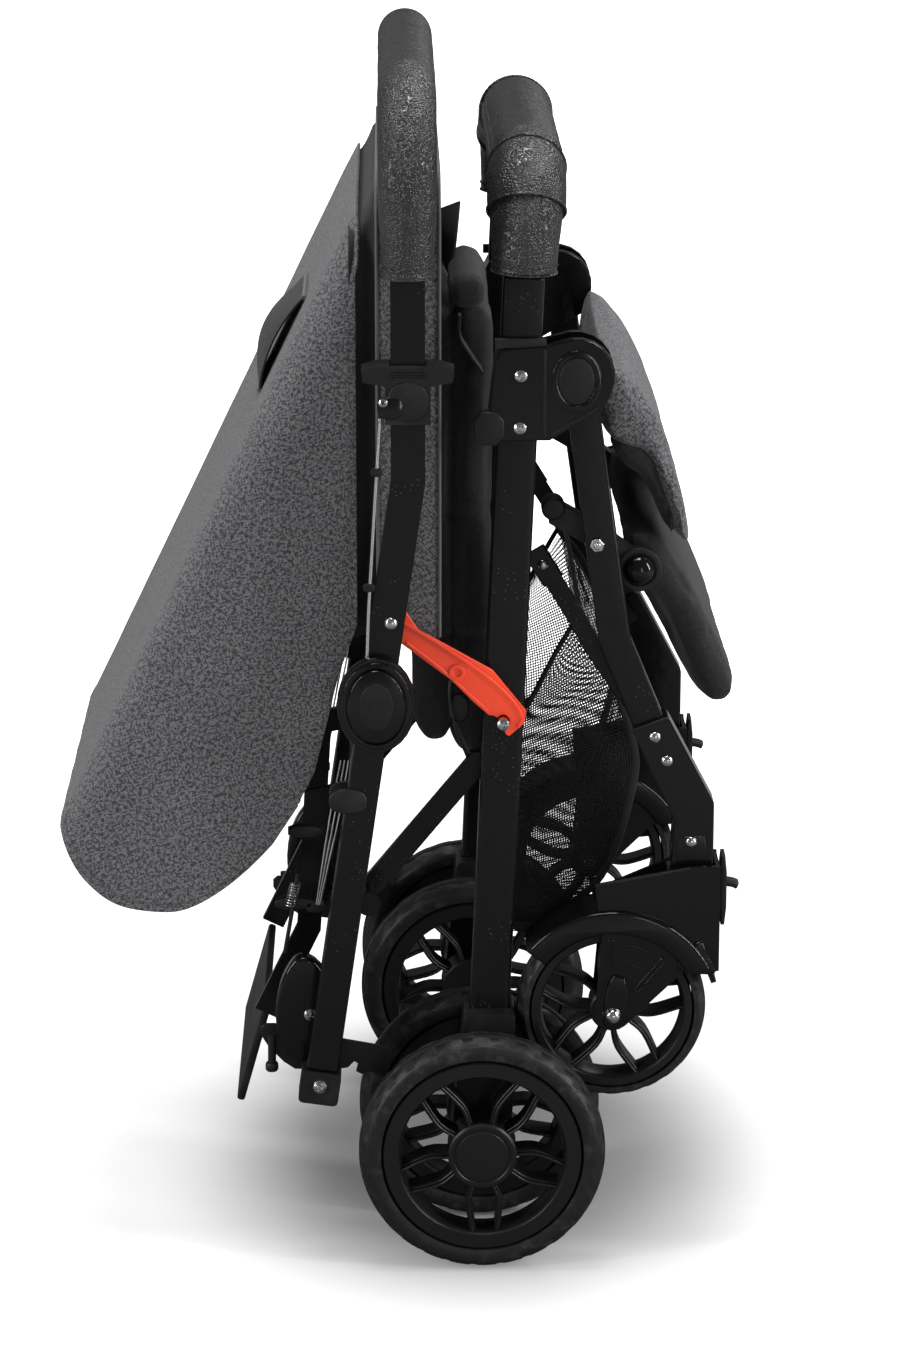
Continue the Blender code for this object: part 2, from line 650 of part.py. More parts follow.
# Casters: a fork with a fender over each front wheel and a skirt round its swivel block, turning on a stem
PLATE_Y = FRONT_TYRE_W / 2 + FENDER_GAP / 2 + FORK_PLATE_T / 2
for side_name, side in SIDES:
    y = side * FRAME_Y
    caster = empty(f"caster_axis_{side_name}", SWIVEL_X, SWIVEL_Z, y, parent=front_fold)
    inner_r = FRONT_WHEEL_R + FENDER_GAP
    outer_r = inner_r + FENDER_T
    foot = arc(FRONT_WHEEL_X, FRONT_WHEEL_Z, CHEEK_FOOT_R, 170, 320, 6)
    lower = arc(FRONT_WHEEL_X, FRONT_WHEEL_Z, outer_r - FENDER_T / 4, 35, 24, 3)
    upper = arc(FRONT_WHEEL_X, FRONT_WHEEL_Z, outer_r - FENDER_T / 4, 98, 95, 1)
    cheek_shape = [*foot, *lower, (SKIRT_FRONT_X, SKIRT_TIP_Z), (SKIRT_FRONT_X, SKIRT_TOP_Z),
                   (SWIVEL_X, SKIRT_TOP_Z), (SKIRT_REAR_X, SKIRT_TOP_Z - SKIRT_DROP), *upper]
    band = [*arc(FRONT_WHEEL_X, FRONT_WHEEL_Z, outer_r, 18, 142, 16),
            *arc(FRONT_WHEEL_X, FRONT_WHEEL_Z, inner_r, 142, 18, 16)]
    fork = plate(f"caster_fork_{side_name}", band, y, 2 * PLATE_Y + FORK_PLATE_T, GLOSS, caster)
    hole_r = FRONT_BOLT_R + FIT
    for edge in (-1, 1):
        cheek = plate(f"cheek_{side_name}", cheek_shape, y + edge * PLATE_Y, FORK_PLATE_T, None, None)
        hole = turned(f"bolt_hole_{side_name}", [(0, STEM_R), (hole_r, STEM_R), (hole_r, -STEM_R),
                                                 (0, -STEM_R)],
                      FRONT_WHEEL_X, y + edge * PLATE_Y, FRONT_WHEEL_Z, None, None, steps=12)
        combine(fork, cheek, "UNION")
        combine(fork, hole, "DIFFERENCE")
    wall_h = SKIRT_TOP_Z - SKIRT_TIP_Z - 2 * FIT
    wall_t = FENDER_T * 0.75
    front = box(f"skirt_front_{side_name}", (wall_t, 2 * PLATE_Y, wall_h),
                (SKIRT_FRONT_X - FIT - wall_t / 2, y, (SKIRT_TOP_Z + SKIRT_TIP_Z) / 2), None, None)
    combine(fork, front, "UNION")
    crown_top = SWIVEL_Z - RUNNING
    crown_foot = FRONT_WHEEL_Z + inner_r * 0.55
    crown = box(f"crown_{side_name}", (SKIRT_FRONT_X - SWIVEL_BLOCK_REAR_X, 2 * PLATE_Y,
                                       crown_top - crown_foot),
                ((SKIRT_FRONT_X + SWIVEL_BLOCK_REAR_X) / 2 - RUNNING, y, (crown_top + crown_foot) / 2), None,
                None)
    combine(fork, crown, "UNION")
    stem_foot = STEM_R * 1.4
    stem = turned(f"stem_{side_name}", [(0, STEM_H), (STEM_R, STEM_H), (STEM_R, -stem_foot), (0, -stem_foot)],
                  SWIVEL_X, y, SWIVEL_Z, None, None, steps=16, axis="Z")
    combine(fork, stem, "UNION")
    room_y = PLATE_Y - FORK_PLATE_T / 2
    sweep = turned(f"wheel_room_{side_name}", [(0, room_y), (inner_r, room_y), (inner_r, -room_y),
                                               (0, -room_y)],
                   FRONT_WHEEL_X, y, FRONT_WHEEL_Z, None, None, steps=48)
    combine(fork, sweep, "DIFFERENCE")
    bolt_half = PLATE_Y + FORK_PLATE_T / 2
    gap = bolt_half + FIT
    head = gap + FRONT_BOLT_R * 1.23
    head_r = FRONT_BOLT_R * 1.83
    crown_r = FRONT_BOLT_R * 1.17
    collar = gap + FRONT_BOLT_R / 2
    turned(f"front_axle_bolt_{side_name}",
           [(0, head), (crown_r, head), (head_r, collar), (head_r, gap), (FRONT_BOLT_R, gap),
            (FRONT_BOLT_R, -gap),
            (head_r, -gap), (head_r, -collar), (crown_r, -head), (0, -head)],
           FRONT_WHEEL_X, y, FRONT_WHEEL_Z, CHROME, caster, steps=16)
    wheel = empty(f"front_wheel_axis_{side_name}", FRONT_WHEEL_X, FRONT_WHEEL_Z, y, parent=caster)
    tyre(f"front_tyre_{side_name}", FRONT_WHEEL_R, FRONT_RIM_R, FRONT_TYRE_W, FRONT_WHEEL_X, y,
         FRONT_WHEEL_Z, wheel)
    rim(f"front_rim_{side_name}", FRONT_RIM_R, FRONT_RIM_INNER_R, FRONT_HUB_R, FRONT_TYRE_W,
        FRONT_WHEEL_X, y, FRONT_WHEEL_Z, wheel, FRONT_SPOKE_TURN, FRONT_BOLT_R + RUNNING)

# Leg rest: a padded board on two click hinges that sit inside the front legs
HINGE_Y = FRAME_Y - FRONT_LEG_T / 2 - FIT - HINGE_T / 2
for side_name, side in SIDES:
    arm = scaled(LEG_REST_X, LEG_REST_Z, LEG_REST_L, [(-0.3324, 0.2243), (-0.1730, 0.1324),
                                                         (0.0270, -0.0162)])
    hinge = plate(f"leg_rest_hinge_{side_name}", strip(arm, LEG_REST_ARM_W), side * HINGE_Y,
                  HINGE_T - RUNNING,
                  PLASTIC, front_fold)
    knob = disc(f"knob_{side_name}", HINGE_R, HINGE_T, LEG_REST_X, side * HINGE_Y, LEG_REST_Z, None, None,
                22, 0.003,
                side)
    combine(hinge, knob, "UNION")
pad = scaled(LEG_REST_X, LEG_REST_Z, LEG_REST_L, [
    (-0.1541, 0.3757), (0.0286, 0.2378), (0.1173, 0.0492), (0.2622, -0.1389), (0.4038, -0.5238),
    (0.3957, -0.5881), (0.3151, -0.6243), (0.2584, -0.5881), (0.0892, -0.2514), (-0.0027, -0.0784),
    (-0.0946, 0.1216), (-0.1649, 0.2676)])
leg_rest_half = HINGE_Y - HINGE_T / 2 - FIT
plate("leg_rest_pad", rounded(pad, 0.008, 1), 0.0, 2 * leg_rest_half, BLACK_CLOTH, leg_rest_axis, edge=0.008)

# Seat apron: a padded grey flap that hangs from the hubs over the leg rest, folded like an inverted V
apron = scaled(HUB_X, HUB_Z, APRON_L, [
    (0.0800, 0.0433), (0.2400, -0.0233), (0.3933, -0.2767), (0.4933, -0.5567), (0.5600, -0.8767),
    (0.5167, -0.9300), (0.4767, -0.8567), (0.4333, -0.6233), (0.3600, -0.4100), (0.2267, -0.3833),
    (0.1200, -0.2900)])
apron_half = FRAME_Y - REAR_LEG_T / 2 - BRACKET_T - FIT
plate("seat_apron", rounded(apron, 0.006, 1), 0.0, 2 * apron_half, HEATHER, front_fold, edge=0.004)

# Seat pad and backrest pad: crowned cushions that stand side by side in the fold
def cushion(name, x0, x1, z0, z1, half, look, parent):
    mesh = bpy.data.meshes.new(name)
    bm = bmesh.new()
    bmesh.ops.create_cube(bm, size=1.0)
    bmesh.ops.scale(bm, vec=(x1 - x0, 2 * half, z1 - z0), verts=bm.verts)
    bmesh.ops.translate(bm, vec=((x0 + x1) / 2, 0, (z0 + z1) / 2), verts=bm.verts)
    bmesh.ops.subdivide_edges(bm, edges=bm.edges, cuts=3, use_grid_fill=True)
    middle = Vector(((x0 + x1) / 2, 0, (z0 + z1) / 2))
    for vert in bm.verts:
        u = (vert.co.y - middle.y) / half
        v = (vert.co.z - middle.z) / (z1 - z0) * 2
        drawn = 1 - 0.45 * max(abs(u), abs(v)) ** 4
        vert.co.x = middle.x + (vert.co.x - middle.x) * drawn
    bm.to_mesh(mesh)
    bm.free()
    obj = place(name, mesh, look, parent)
    smooth = obj.modifiers.new("round", "SUBSURF")
    smooth.levels = 1
    smooth.render_levels = 1
    return obj


pad_half = FRAME_Y - PAD_IN
backrest = cushion("backrest_pad", BACK_PAD_X - PAD_T / 2, BACK_PAD_X + PAD_T / 2, BACK_PAD_FOOT_Z,
                   HANDLE_BOW_Z - BACK_PAD_BELOW_BOW, pad_half, BLACK_CLOTH, handle_axis)
seat = cushion("seat_pad", SEAT_PAD_X - PAD_T / 2, SEAT_PAD_X + PAD_T / 2, SEAT_PAD_FOOT_Z, SEAT_PAD_TOP_Z,
               pad_half,
               BLACK_CLOTH, seat_axis)
# The ends of the frames inside the two pads, which reach out to the tubes that carry them
for side_name, side in SIDES:
    back_reach = HANDLE_Y - HANDLE_T / 2 - FIT
    back_lug = box(f"back_lug_{side_name}", (PAD_T * 2, back_reach - pad_half + LUG_IN, PAD_T * 0.66),
                   (BACK_PAD_X - PAD_T, side * (back_reach + pad_half - LUG_IN) / 2, LUG_Z), None, None)
    combine(backrest, back_lug, "UNION")
    seat_reach = FRAME_Y - REAR_LEG_T / 2 - FIT
    seat_lug = box(f"seat_lug_{side_name}", (PAD_T * 0.9, seat_reach - pad_half + LUG_IN, PAD_T * 0.82),
                   (SEAT_PAD_X + PAD_T * 0.54, side * (seat_reach + pad_half - LUG_IN) / 2, SEAT_Z), None,
                   None)
    combine(seat, seat_lug, "UNION")

# Push handle: one bent tube with a long padded sleeve
handle = plate("push_handle", strip([(OVAL_X, OVAL_Z + 0.002), (HANDLE_X, HANDLE_BEND_Z),
                                     (HANDLE_X, HANDLE_TUBE_TOP_Z)], HANDLE_W), -HANDLE_Y, HANDLE_T, PAINT,
                                     handle_axis)
other_side = plate("handle_far_side", strip([(OVAL_X, OVAL_Z + 0.002), (HANDLE_X, HANDLE_BEND_Z),
                                             (HANDLE_X, HANDLE_TUBE_TOP_Z)], HANDLE_W), HANDLE_Y, HANDLE_T,
                                             None, None)
combine(handle, other_side, "UNION")
handle_bow = rod("handle_bow", bow_line(HANDLE_X, HANDLE_TUBE_TOP_Z - 0.004, HANDLE_BOW_Z, HANDLE_Y,
                                        HANDLE_CORNER_R), HANDLE_BOW_R, None, None)
combine(handle, handle_bow, "UNION")
sleeve_foot = HANDLE_TUBE_TOP_Z + 2 * FIT
sleeve = rod("push_handle_grip", bow_line(HANDLE_X, sleeve_foot, HANDLE_BOW_Z, HANDLE_Y, HANDLE_CORNER_R),
             HANDLE_GRIP_R, LEATHER, handle_axis, sides=4)
combine(sleeve, rod("sleeve_bore", bow_line(HANDLE_X, sleeve_foot - 0.02, HANDLE_BOW_Z, HANDLE_Y,
                                            HANDLE_CORNER_R),
                    HANDLE_T / 2 + 2 * FIT, None, None), "DIFFERENCE")

# Oval hubs, lower tubes, end blocks, release collars and hook plates, one of each on a side
down = Vector((LOWER_END_X - OVAL_X, LOWER_END_Z - OVAL_Z)).normalized()
for side_name, side in SIDES:
    y = side * HANDLE_Y
    hub_y = side * (HANDLE_Y + HANDLE_T / 2 + FIT + OVAL_T / 2)
    hub = plate(f"oval_hub_{side_name}", oval(OVAL_X, OVAL_Z, OVAL_W, OVAL_H, 28), hub_y, OVAL_T, PLASTIC,
                handle_axis,
                edge=0.003)
    cap = plate(f"oval_cap_{side_name}", oval(OVAL_X, OVAL_Z, OVAL_W * 0.57, OVAL_H * 0.64, 24),
                hub_y + side * OVAL_T * 0.375, OVAL_T * 0.75, None, None)
    combine(hub, cap, "UNION")
    start = Vector((OVAL_X, OVAL_Z)) + down * 0.0145
    stop = Vector((LOWER_END_X, LOWER_END_Z)) - down * (END_BLOCK * 0.42 + FIT)
    plate(f"lower_tube_{side_name}", strip([tuple(start), tuple(stop)], LOWER_W), y, HANDLE_T, PAINT,
          handle_axis,
          edge=0.003)
    block = strip([tuple(stop + down * FIT), tuple(stop + down * END_BLOCK * 0.86)], END_BLOCK)
    plate(f"end_block_{side_name}", rounded(block, 0.004), y, HANDLE_T + 0.004, PLASTIC, handle_axis,
          edge=0.0015)

    collar_axis = empty(f"release_collar_axis_{side_name}", HANDLE_X, COLLAR_Z, y, parent=handle_axis)
    half_w = HANDLE_W / 2 + RUNNING + COLLAR_WALL
    foot = COLLAR_Z - COLLAR_H / 2
    top = COLLAR_Z + COLLAR_H / 2
    wing = COLLAR_WING
    shape = [(HANDLE_X - half_w, foot), (HANDLE_X + half_w, foot), (HANDLE_X + half_w, top - 0.0150),
             (HANDLE_X + half_w + wing, top - 0.012), (HANDLE_X + half_w + wing + 0.001, top - 0.004),
             (HANDLE_X + half_w + wing * 0.4, top - 0.001), (HANDLE_X, top),
             (HANDLE_X - half_w - wing * 0.4, top - 0.001), (HANDLE_X - half_w - wing - 0.001, top - 0.004),
             (HANDLE_X - half_w - wing, top - 0.012), (HANDLE_X - half_w, top - 0.0150)]
    collar = plate(f"release_collar_{side_name}", shape, y, HANDLE_T + 2 * (RUNNING + COLLAR_WALL), PLASTIC,
                   collar_axis)
    combine(collar, box(f"collar_bore_{side_name}", (HANDLE_W + 2 * RUNNING, HANDLE_T + 2 * RUNNING, 0.1),
                        (HANDLE_X, y, COLLAR_Z), None, None), "DIFFERENCE")

    hook_axis = empty(f"hook_plate_axis_{side_name}", LOWER_END_X, LOWER_END_Z, y, parent=handle_axis)
    hook = scaled(LOWER_END_X, LOWER_END_Z, HOOK_L, [
        (0.1800, 0.6200), (1.0240, 0.4600), (1.0520, 0.3060), (0.9640, 0.0020), (0.7320, 0.0940),
        (0.6140, 0.0480), (0.5260, 0.0940), (0.5560, 0.2160), (0.4980, 0.2500), (0.4100, 0.1540),
        (0.1200, 0.1100)])
    hook_y = side * (HANDLE_Y - HANDLE_T / 2 - 0.002 - RUNNING - HOOK_T / 2)
    plate(f"hook_plate_{side_name}", hook, hook_y, HOOK_T, STEEL, hook_axis)

# Fold lock: an orange hook that catches the near stud and holds the fold shut
LOCK_Y = -(CANOPY_HALF + LOCK_T + RUNNING)
inner_edge = scaled(LOCK_X, LOCK_Z, LOCK_L, [
    (0.0691, -0.2073), (0.1882, -0.2973), (0.3945, -0.4555), (0.5336, -0.6000), (0.5873, -0.6482),
    (0.6336, -0.6900), (0.6664, -0.6927)])
outer_edge = scaled(LOCK_X, LOCK_Z, LOCK_L, [
    (0.7391, -0.8136), (0.7664, -0.8345), (0.8655, -0.7445), (0.8791, -0.6618), (0.6600, -0.3864),
    (0.4073, -0.2418), (0.1755, -0.1109)])
lock = [*arc(LOCK_X, LOCK_Z, LOCK_L * 0.0864, 45, 215, 8), *inner_edge,
        *arc(STUD_X, STUD_Z, STUD_R + RUNNING, 150, -50, 9), *outer_edge]
plate("fold_lock_hook", lock, LOCK_Y, LOCK_T, ORANGE, lock_axis, edge=0.0005, segments=1)

# Side links: they carry the push handle on the rear legs, each with a long pin to a lower tube
LINK_INNER_Y = FRAME_Y - REAR_LEG_T / 2 - RUNNING - LINK_T / 2
for side_name, side in SIDES:
    bar = strip([(LINK_TOP_X, LINK_TOP_Z), (LINK_LOW_X, LINK_LOW_Z)], LINK_W)
    link = plate(f"side_link_{side_name}", rounded(bar, 0.007), side * LINK_INNER_Y, LINK_T, PAINT, link_axis)
    pin_end = HANDLE_Y - HANDLE_T / 2 - RUNNING
    pin_half = (pin_end - LINK_INNER_Y) / 2
    pin = disc(f"link_pin_{side_name}", LINK_PIN_R, 2 * pin_half, LINK_LOW_X,
               side * (LINK_INNER_Y + pin_half),
               LINK_LOW_Z, None, None, 14)
    combine(link, pin, "UNION")
    flange = disc(f"link_flange_{side_name}", LINK_FLANGE_R, 0.002, LINK_LOW_X, side * (pin_end - 0.001),
                  LINK_LOW_Z,
                  None, None, 16)
    combine(link, flange, "UNION")

# Cross bar between the lower tubes, with two arms that carry the foot board
cross_half = HANDLE_Y - HANDLE_T / 2 - FIT
cross = rod("lower_cross_bar", [(CROSS_BAR_X, -cross_half, CROSS_BAR_Z),
                                (CROSS_BAR_X, cross_half, CROSS_BAR_Z)],
            CROSS_BAR_R, PAINT, handle_axis)
arm_line = [(CROSS_BAR_X - CROSS_BAR_R / 2, CROSS_BAR_Z), (CROSS_BAR_X - CROSS_BAR_R * 4,
                                                           CROSS_BAR_Z - CROSS_BAR_R * 0.75),
            (BOARD_X + BOARD_ARM_W * 1.83, BOARD_Z + BOARD_ARM_W * 3.78), (BOARD_X, BOARD_Z)]
for side_name, side in SIDES:
    arm = plate(f"board_arm_{side_name}", strip(arm_line, BOARD_ARM_W),
                side * (BOARD_HALF + FIT + BOARD_T / 2),
                BOARD_T, None, None)
    combine(cross, arm, "UNION")
board_axis = empty("foot_board_axis", BOARD_X, BOARD_Z, parent=handle_axis)
board = strip([(BOARD_X, BOARD_Z), (BOARD_END_X, BOARD_END_Z)], BOARD_T)
plate("foot_board", board, 0.0, 2 * BOARD_HALF, PLASTIC, board_axis, edge=0.002)

# Hood: side panels and a roof that hang behind the handle, open at the hem and towards the seat
ROOF_TOP = Vector((ROOF_TOP_X, HANDLE_BOW_Z - ROOF_BELOW_BOW))
ROOF_FOOT = Vector((ROOF_FOOT_X, ROOF_FOOT_Z))
hem = scaled(ROOF_TOP_X, ROOF_FOOT_Z, HOOD_L, [
    (-0.4536, -0.0436), (-0.4536, -0.0724), (-0.4246, -0.1260), (-0.3794, -0.1660), (-0.3202, -0.1784),
    (-0.2694, -0.1726), (-0.2064, -0.1332), (-0.1420, -0.0680), (-0.1068, -0.0090), (-0.0686, 0.0692),
    (-0.0434, 0.2120), (0.0934, 0.2326)])
front_x = hem[-1][0]
hood = [tuple(ROOF_TOP), tuple(ROOF_FOOT), *hem, (front_x, ROOF_TOP.y - CANOPY_WALL * 1.25),
        (CANOPY_X, ROOF_TOP.y + RUNNING)]
canopy = plate("canopy", hood, 0.0, 2 * (CANOPY_HALF + CANOPY_WALL), HEATHER, canopy_axis)


def roof_block(name, inset):
    along = (ROOF_FOOT - ROOF_TOP).normalized()
    inward = Vector((-along.y, along.x))
    depth = HOOD_L
    length = HOOD_L * 2
    middle = (ROOF_TOP + ROOF_FOOT) / 2 + inward * (depth / 2 + inset)
    tilt = math.atan2(-along.x, -along.y)
    return box(name, (depth, 2 * (CANOPY_HALF - inset), length), (middle.x, 0, middle.y), None, None,
               edge=CANOPY_ROUND - inset, turn=tilt, segments=5)


combine(canopy, roof_block("roof_outside", 0.0), "INTERSECT")
room_top = ROOF_TOP.y - CANOPY_WALL
room_foot = ROOF_FOOT_Z - HOOD_L * 0.3
room = box("canopy_room", (HOOD_L * 0.8, HOOD_L, room_top - room_foot),
           (ROOF_TOP_X - HOOD_L * 0.147, 0, (room_top + room_foot) / 2), None, None)
combine(room, roof_block("roof_inside", CANOPY_WALL), "INTERSECT")
combine(canopy, room, "DIFFERENCE")
bow_half = CANOPY_HALF - CANOPY_WALL - FIT - CANOPY_BOW_R
rod("canopy_bow", bow_line(CANOPY_X, CANOPY_Z, room_top - CANOPY_BOW_R - 0.008, bow_half,
                           CANOPY_ROUND * 1.545, -0.045),
    CANOPY_BOW_R, STEEL, canopy_axis)
for side_name, side in SIDES:
    clip_reach = HANDLE_Y - HANDLE_T / 2 - RUNNING - CANOPY_HALF + 0.002
    clip = disc(f"canopy_clip_{side_name}", CANOPY_CLIP_R, clip_reach, CANOPY_X,
                side * (CANOPY_HALF - 0.002 + clip_reach / 2), CANOPY_Z, None, None, 16)
    combine(canopy, clip, "UNION")

# Basket: a mesh bag that hangs between the rear and front legs, open at the top
bag = scaled(0.0, REAR_LEG_FOOT_Z, BASKET_L, [
    (0.2928, 1.3379), (0.3723, 1.2255), (0.4894, 0.9519), (0.4723, 0.7591), (0.3723, 0.5106),
    (0.1702, 0.3404), (0.0702, 0.3404), (0.0702, 1.0162), (0.1498, 1.0809)])
basket_half = FRAME_Y - BASKET_IN
basket = plate("basket", bag, 0.0, 2 * basket_half, NET, frame)
inside = scaled(0.0, REAR_LEG_FOOT_Z, BASKET_L, [
    (0.2928, 1.4255), (0.3596, 1.2255), (0.4745, 0.9519), (0.4574, 0.7660), (0.3617, 0.5213),
    (0.1651, 0.3540), (0.0838, 0.3540), (0.0838, 1.0162), (0.1498, 1.1660)])
combine(basket, plate("basket_room", inside, 0.0, 2 * (basket_half - BASKET_WALL), None, None), "DIFFERENCE")
for side_name, side in SIDES:
    strap_reach = FRAME_Y - REAR_LEG_T / 2 - FIT
    strap = box(f"basket_strap_{side_name}", (STRAP_W, strap_reach - basket_half + FIT * 7, STRAP_W * 1.45),
                (bag[-2][0] + STRAP_W * 0.64, side * (strap_reach + basket_half - FIT * 7) / 2, STRAP_Z),
                None, None)
    combine(basket, strap, "UNION")

# Cutters keep to their pieces when the stroller is set down with its length centred on the origin
for obj in list(bpy.context.scene.collection.objects):
    cutters.objects.link(obj)
    bpy.context.scene.collection.objects.unlink(obj)
for obj in cutters.objects:
    hang(obj, frame)
frame.location.x += AXLE_X
bpy.context.view_layer.update()
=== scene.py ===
# Folded reversible stroller: the looks of every piece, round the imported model.  Units are metres, and
# millimetres in what the helpers mm, route, facing_out, oval, stripe, block, wheel_arc and moulded are given.
import json
import math
from contextlib import contextmanager

import bmesh
import bpy
import numpy as np
from mathutils import Matrix, Vector, noise


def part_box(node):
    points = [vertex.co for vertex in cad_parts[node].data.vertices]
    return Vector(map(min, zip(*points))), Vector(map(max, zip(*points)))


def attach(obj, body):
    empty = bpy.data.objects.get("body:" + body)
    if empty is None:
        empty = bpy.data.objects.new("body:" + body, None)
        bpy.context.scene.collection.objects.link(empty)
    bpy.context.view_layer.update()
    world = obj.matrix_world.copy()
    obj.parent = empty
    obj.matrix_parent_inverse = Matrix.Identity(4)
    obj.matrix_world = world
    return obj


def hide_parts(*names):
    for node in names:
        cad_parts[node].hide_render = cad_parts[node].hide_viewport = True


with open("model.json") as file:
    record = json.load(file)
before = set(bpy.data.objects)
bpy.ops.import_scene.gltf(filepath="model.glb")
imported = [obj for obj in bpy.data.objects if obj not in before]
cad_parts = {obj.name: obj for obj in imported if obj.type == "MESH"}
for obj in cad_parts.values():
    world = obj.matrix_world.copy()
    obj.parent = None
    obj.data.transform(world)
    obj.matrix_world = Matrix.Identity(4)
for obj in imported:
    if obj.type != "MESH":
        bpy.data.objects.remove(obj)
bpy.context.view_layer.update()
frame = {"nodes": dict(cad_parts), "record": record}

BODY = {node: body for body, nodes in frame["record"]["behaviour"]["bodies"].items() for node in nodes}

# The rear axle is the place that the stroller's lengths are measured from, as on the real one
axle_low, axle_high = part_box("rear_axle")
AXLE_X = (axle_low.x + axle_high.x) / 2
SIDES = {-1: "near", 1: "far"}


def at(x, y, z):
    return Vector((x + AXLE_X, y, z))


# Studio: a camera at about the height of a standing person's chest, and a pale sweep of floor.  One soft lamp
# is above, a tall strip on each side, a weak one in front and two behind.
CAMERA_PLACE = (-0.00706, -3.01908, 1.25173)
CAMERA_AIM = (0.01426, 0.96116, -0.27564)
CAMERA_LENS = 110.03
SENSOR = 36.0
FLOOR_HALF = 30.0
# The first lift is the floor's glow inside the painted shadow round the stroller, the second beside it and
# the third far off.
PAINTED_SHADOW_LIFT, FAR_LIFT, HORIZON_LIFT = 0.02, 0.72, 1.2
AMBIENT, MIRRORED_SKY = 0.42, 0.12
WHITE = (1, 1, 1, 1)


def shown(name, data):
    """A new object in the scene."""
    thing = bpy.data.objects.new(name, data)
    bpy.context.scene.collection.objects.link(thing)
    return thing


def aimed(thing, place, way):
    thing.location = place
    thing.rotation_euler = Vector(way).to_track_quat("-Z", "Y").to_euler()


lens = bpy.data.cameras.new("studio_camera")
lens.lens = CAMERA_LENS
lens.sensor_width = SENSOR
lens.clip_end = 100.0
camera = shown("studio_camera", lens)
aimed(camera, CAMERA_PLACE, CAMERA_AIM)
bpy.context.scene.camera = camera
bpy.context.scene.view_settings.view_transform = "Standard"


class Wire:
    """One output of a material's node.  Sums written on it add Math nodes."""

    def __init__(self, tree, socket):
        self.tree = tree
        self.socket = socket

    def feed(self, place, value):
        if isinstance(value, Wire):
            self.tree.links.new(value.socket, place)
        else:
            place.default_value = value

    def math(self, operation, *values):
        node = self.tree.nodes.new("ShaderNodeMath")
        node.operation = operation
        for place, value in zip(node.inputs, values):
            self.feed(place, value)
        return Wire(self.tree, node.outputs[0])

    def __add__(self, other):
        return self.math("ADD", self, other)

    def __sub__(self, other):
        return self.math("SUBTRACT", self, other)

    def __rsub__(self, other):
        return self.math("SUBTRACT", other, self)

    def __mul__(self, other):
        return self.math("MULTIPLY", self, other)

    def __gt__(self, other):
        return self.math("GREATER_THAN", self, other)

    def __lt__(self, other):
        return self.math("LESS_THAN", self, other)

    def wave(self, pitch):
        """A sine of this length, from -1 to 1."""
        return self.math("SINE", self * (2 * math.pi / pitch))

    def between(self, low, high):
        """A smooth step from 0 at low to 1 at high."""
        node = self.tree.nodes.new("ShaderNodeMapRange")
        node.interpolation_type = "SMOOTHSTEP"
        self.feed(node.inputs[0], self)
        node.inputs[1].default_value = low
        node.inputs[2].default_value = high
        return Wire(self.tree, node.outputs[0])


class Finish:
    """A material on the Principled shader, built up from its own patterns."""

    def __init__(self, name, colour, roughness, **settings):
        self.material = bpy.data.materials.new(name)
        self.material.use_nodes = True
        self.tree = self.material.node_tree
        self.shader = self.tree.nodes["Principled BSDF"]
        self.shader.inputs["Base Color"].default_value = (*colour, 1.0)
        self.shader.inputs["Roughness"].default_value = roughness
        for setting, value in settings.items():
            self.shader.inputs[setting.replace("_", " ")].default_value = value

    def node(self, kind, **values):
        made = self.tree.nodes.new("ShaderNode" + kind)
        wire = Wire(self.tree, made.outputs[0])
        for place, value in values.items():
            wire.feed(made.inputs[place], value)
        return wire

    def place(self, output="Object"):
        made = self.tree.nodes.new("ShaderNodeTexCoord")
        return Wire(self.tree, made.outputs[output])

    def axes(self, vector):
        made = self.tree.nodes.new("ShaderNodeSeparateXYZ")
        self.tree.links.new(vector.socket, made.inputs[0])
        return [Wire(self.tree, made.outputs[i]) for i in range(3)]

    def stretch(self, vector, scale):
        return self.node("Mapping", Vector=vector, Scale=scale)

    def noise(self, vector, scale, detail=2.0, rough=0.5):
        return self.node("TexNoise", Vector=vector, Scale=scale, Detail=detail, Roughness=rough)

    def cells(self, vector, scale):
        return self.node("TexVoronoi", Vector=vector, Scale=scale)

    def mix(self, share, first, second):
        made = self.tree.nodes.new("ShaderNodeMix")
        made.data_type = "RGBA"
        wire = Wire(self.tree, made.outputs[2])
        for place, value in ((made.inputs[0], share), (made.inputs[6], first), (made.inputs[7], second)):
            wire.feed(place, (*value, 1.0) if isinstance(value, tuple) else value)
        return wire

    def put(self, socket, wire):
        self.tree.links.new(wire.socket, self.shader.inputs[socket])

    def relief(self, height, depth):
        """Bump whose height runs from 0 to 1 over this depth in metres."""
        self.put("Normal", self.node("Bump", Height=height, Distance=depth, Strength=1.0))

    def worn(self, rough, relief=None):
        """Noise on the roughness (scale, detail, change, lowest) and on the relief (scale, detail, depth)."""
        spot = self.place()
        scale, detail, change, lowest = rough
        self.put("Roughness", self.noise(spot, scale, detail) * change + lowest)
        if relief:
            scale, detail, depth = relief
            self.relief(self.noise(spot, scale, detail), depth)
        return spot


def rays(tree):
    """Wires that are 1 on camera rays, on rays through a clear place and on mirrored rays."""
    made = tree.nodes.new("ShaderNodeLightPath")
    return [Wire(tree, made.outputs[f"Is {kind} Ray"]) for kind in ("Camera", "Transmission", "Glossy")]
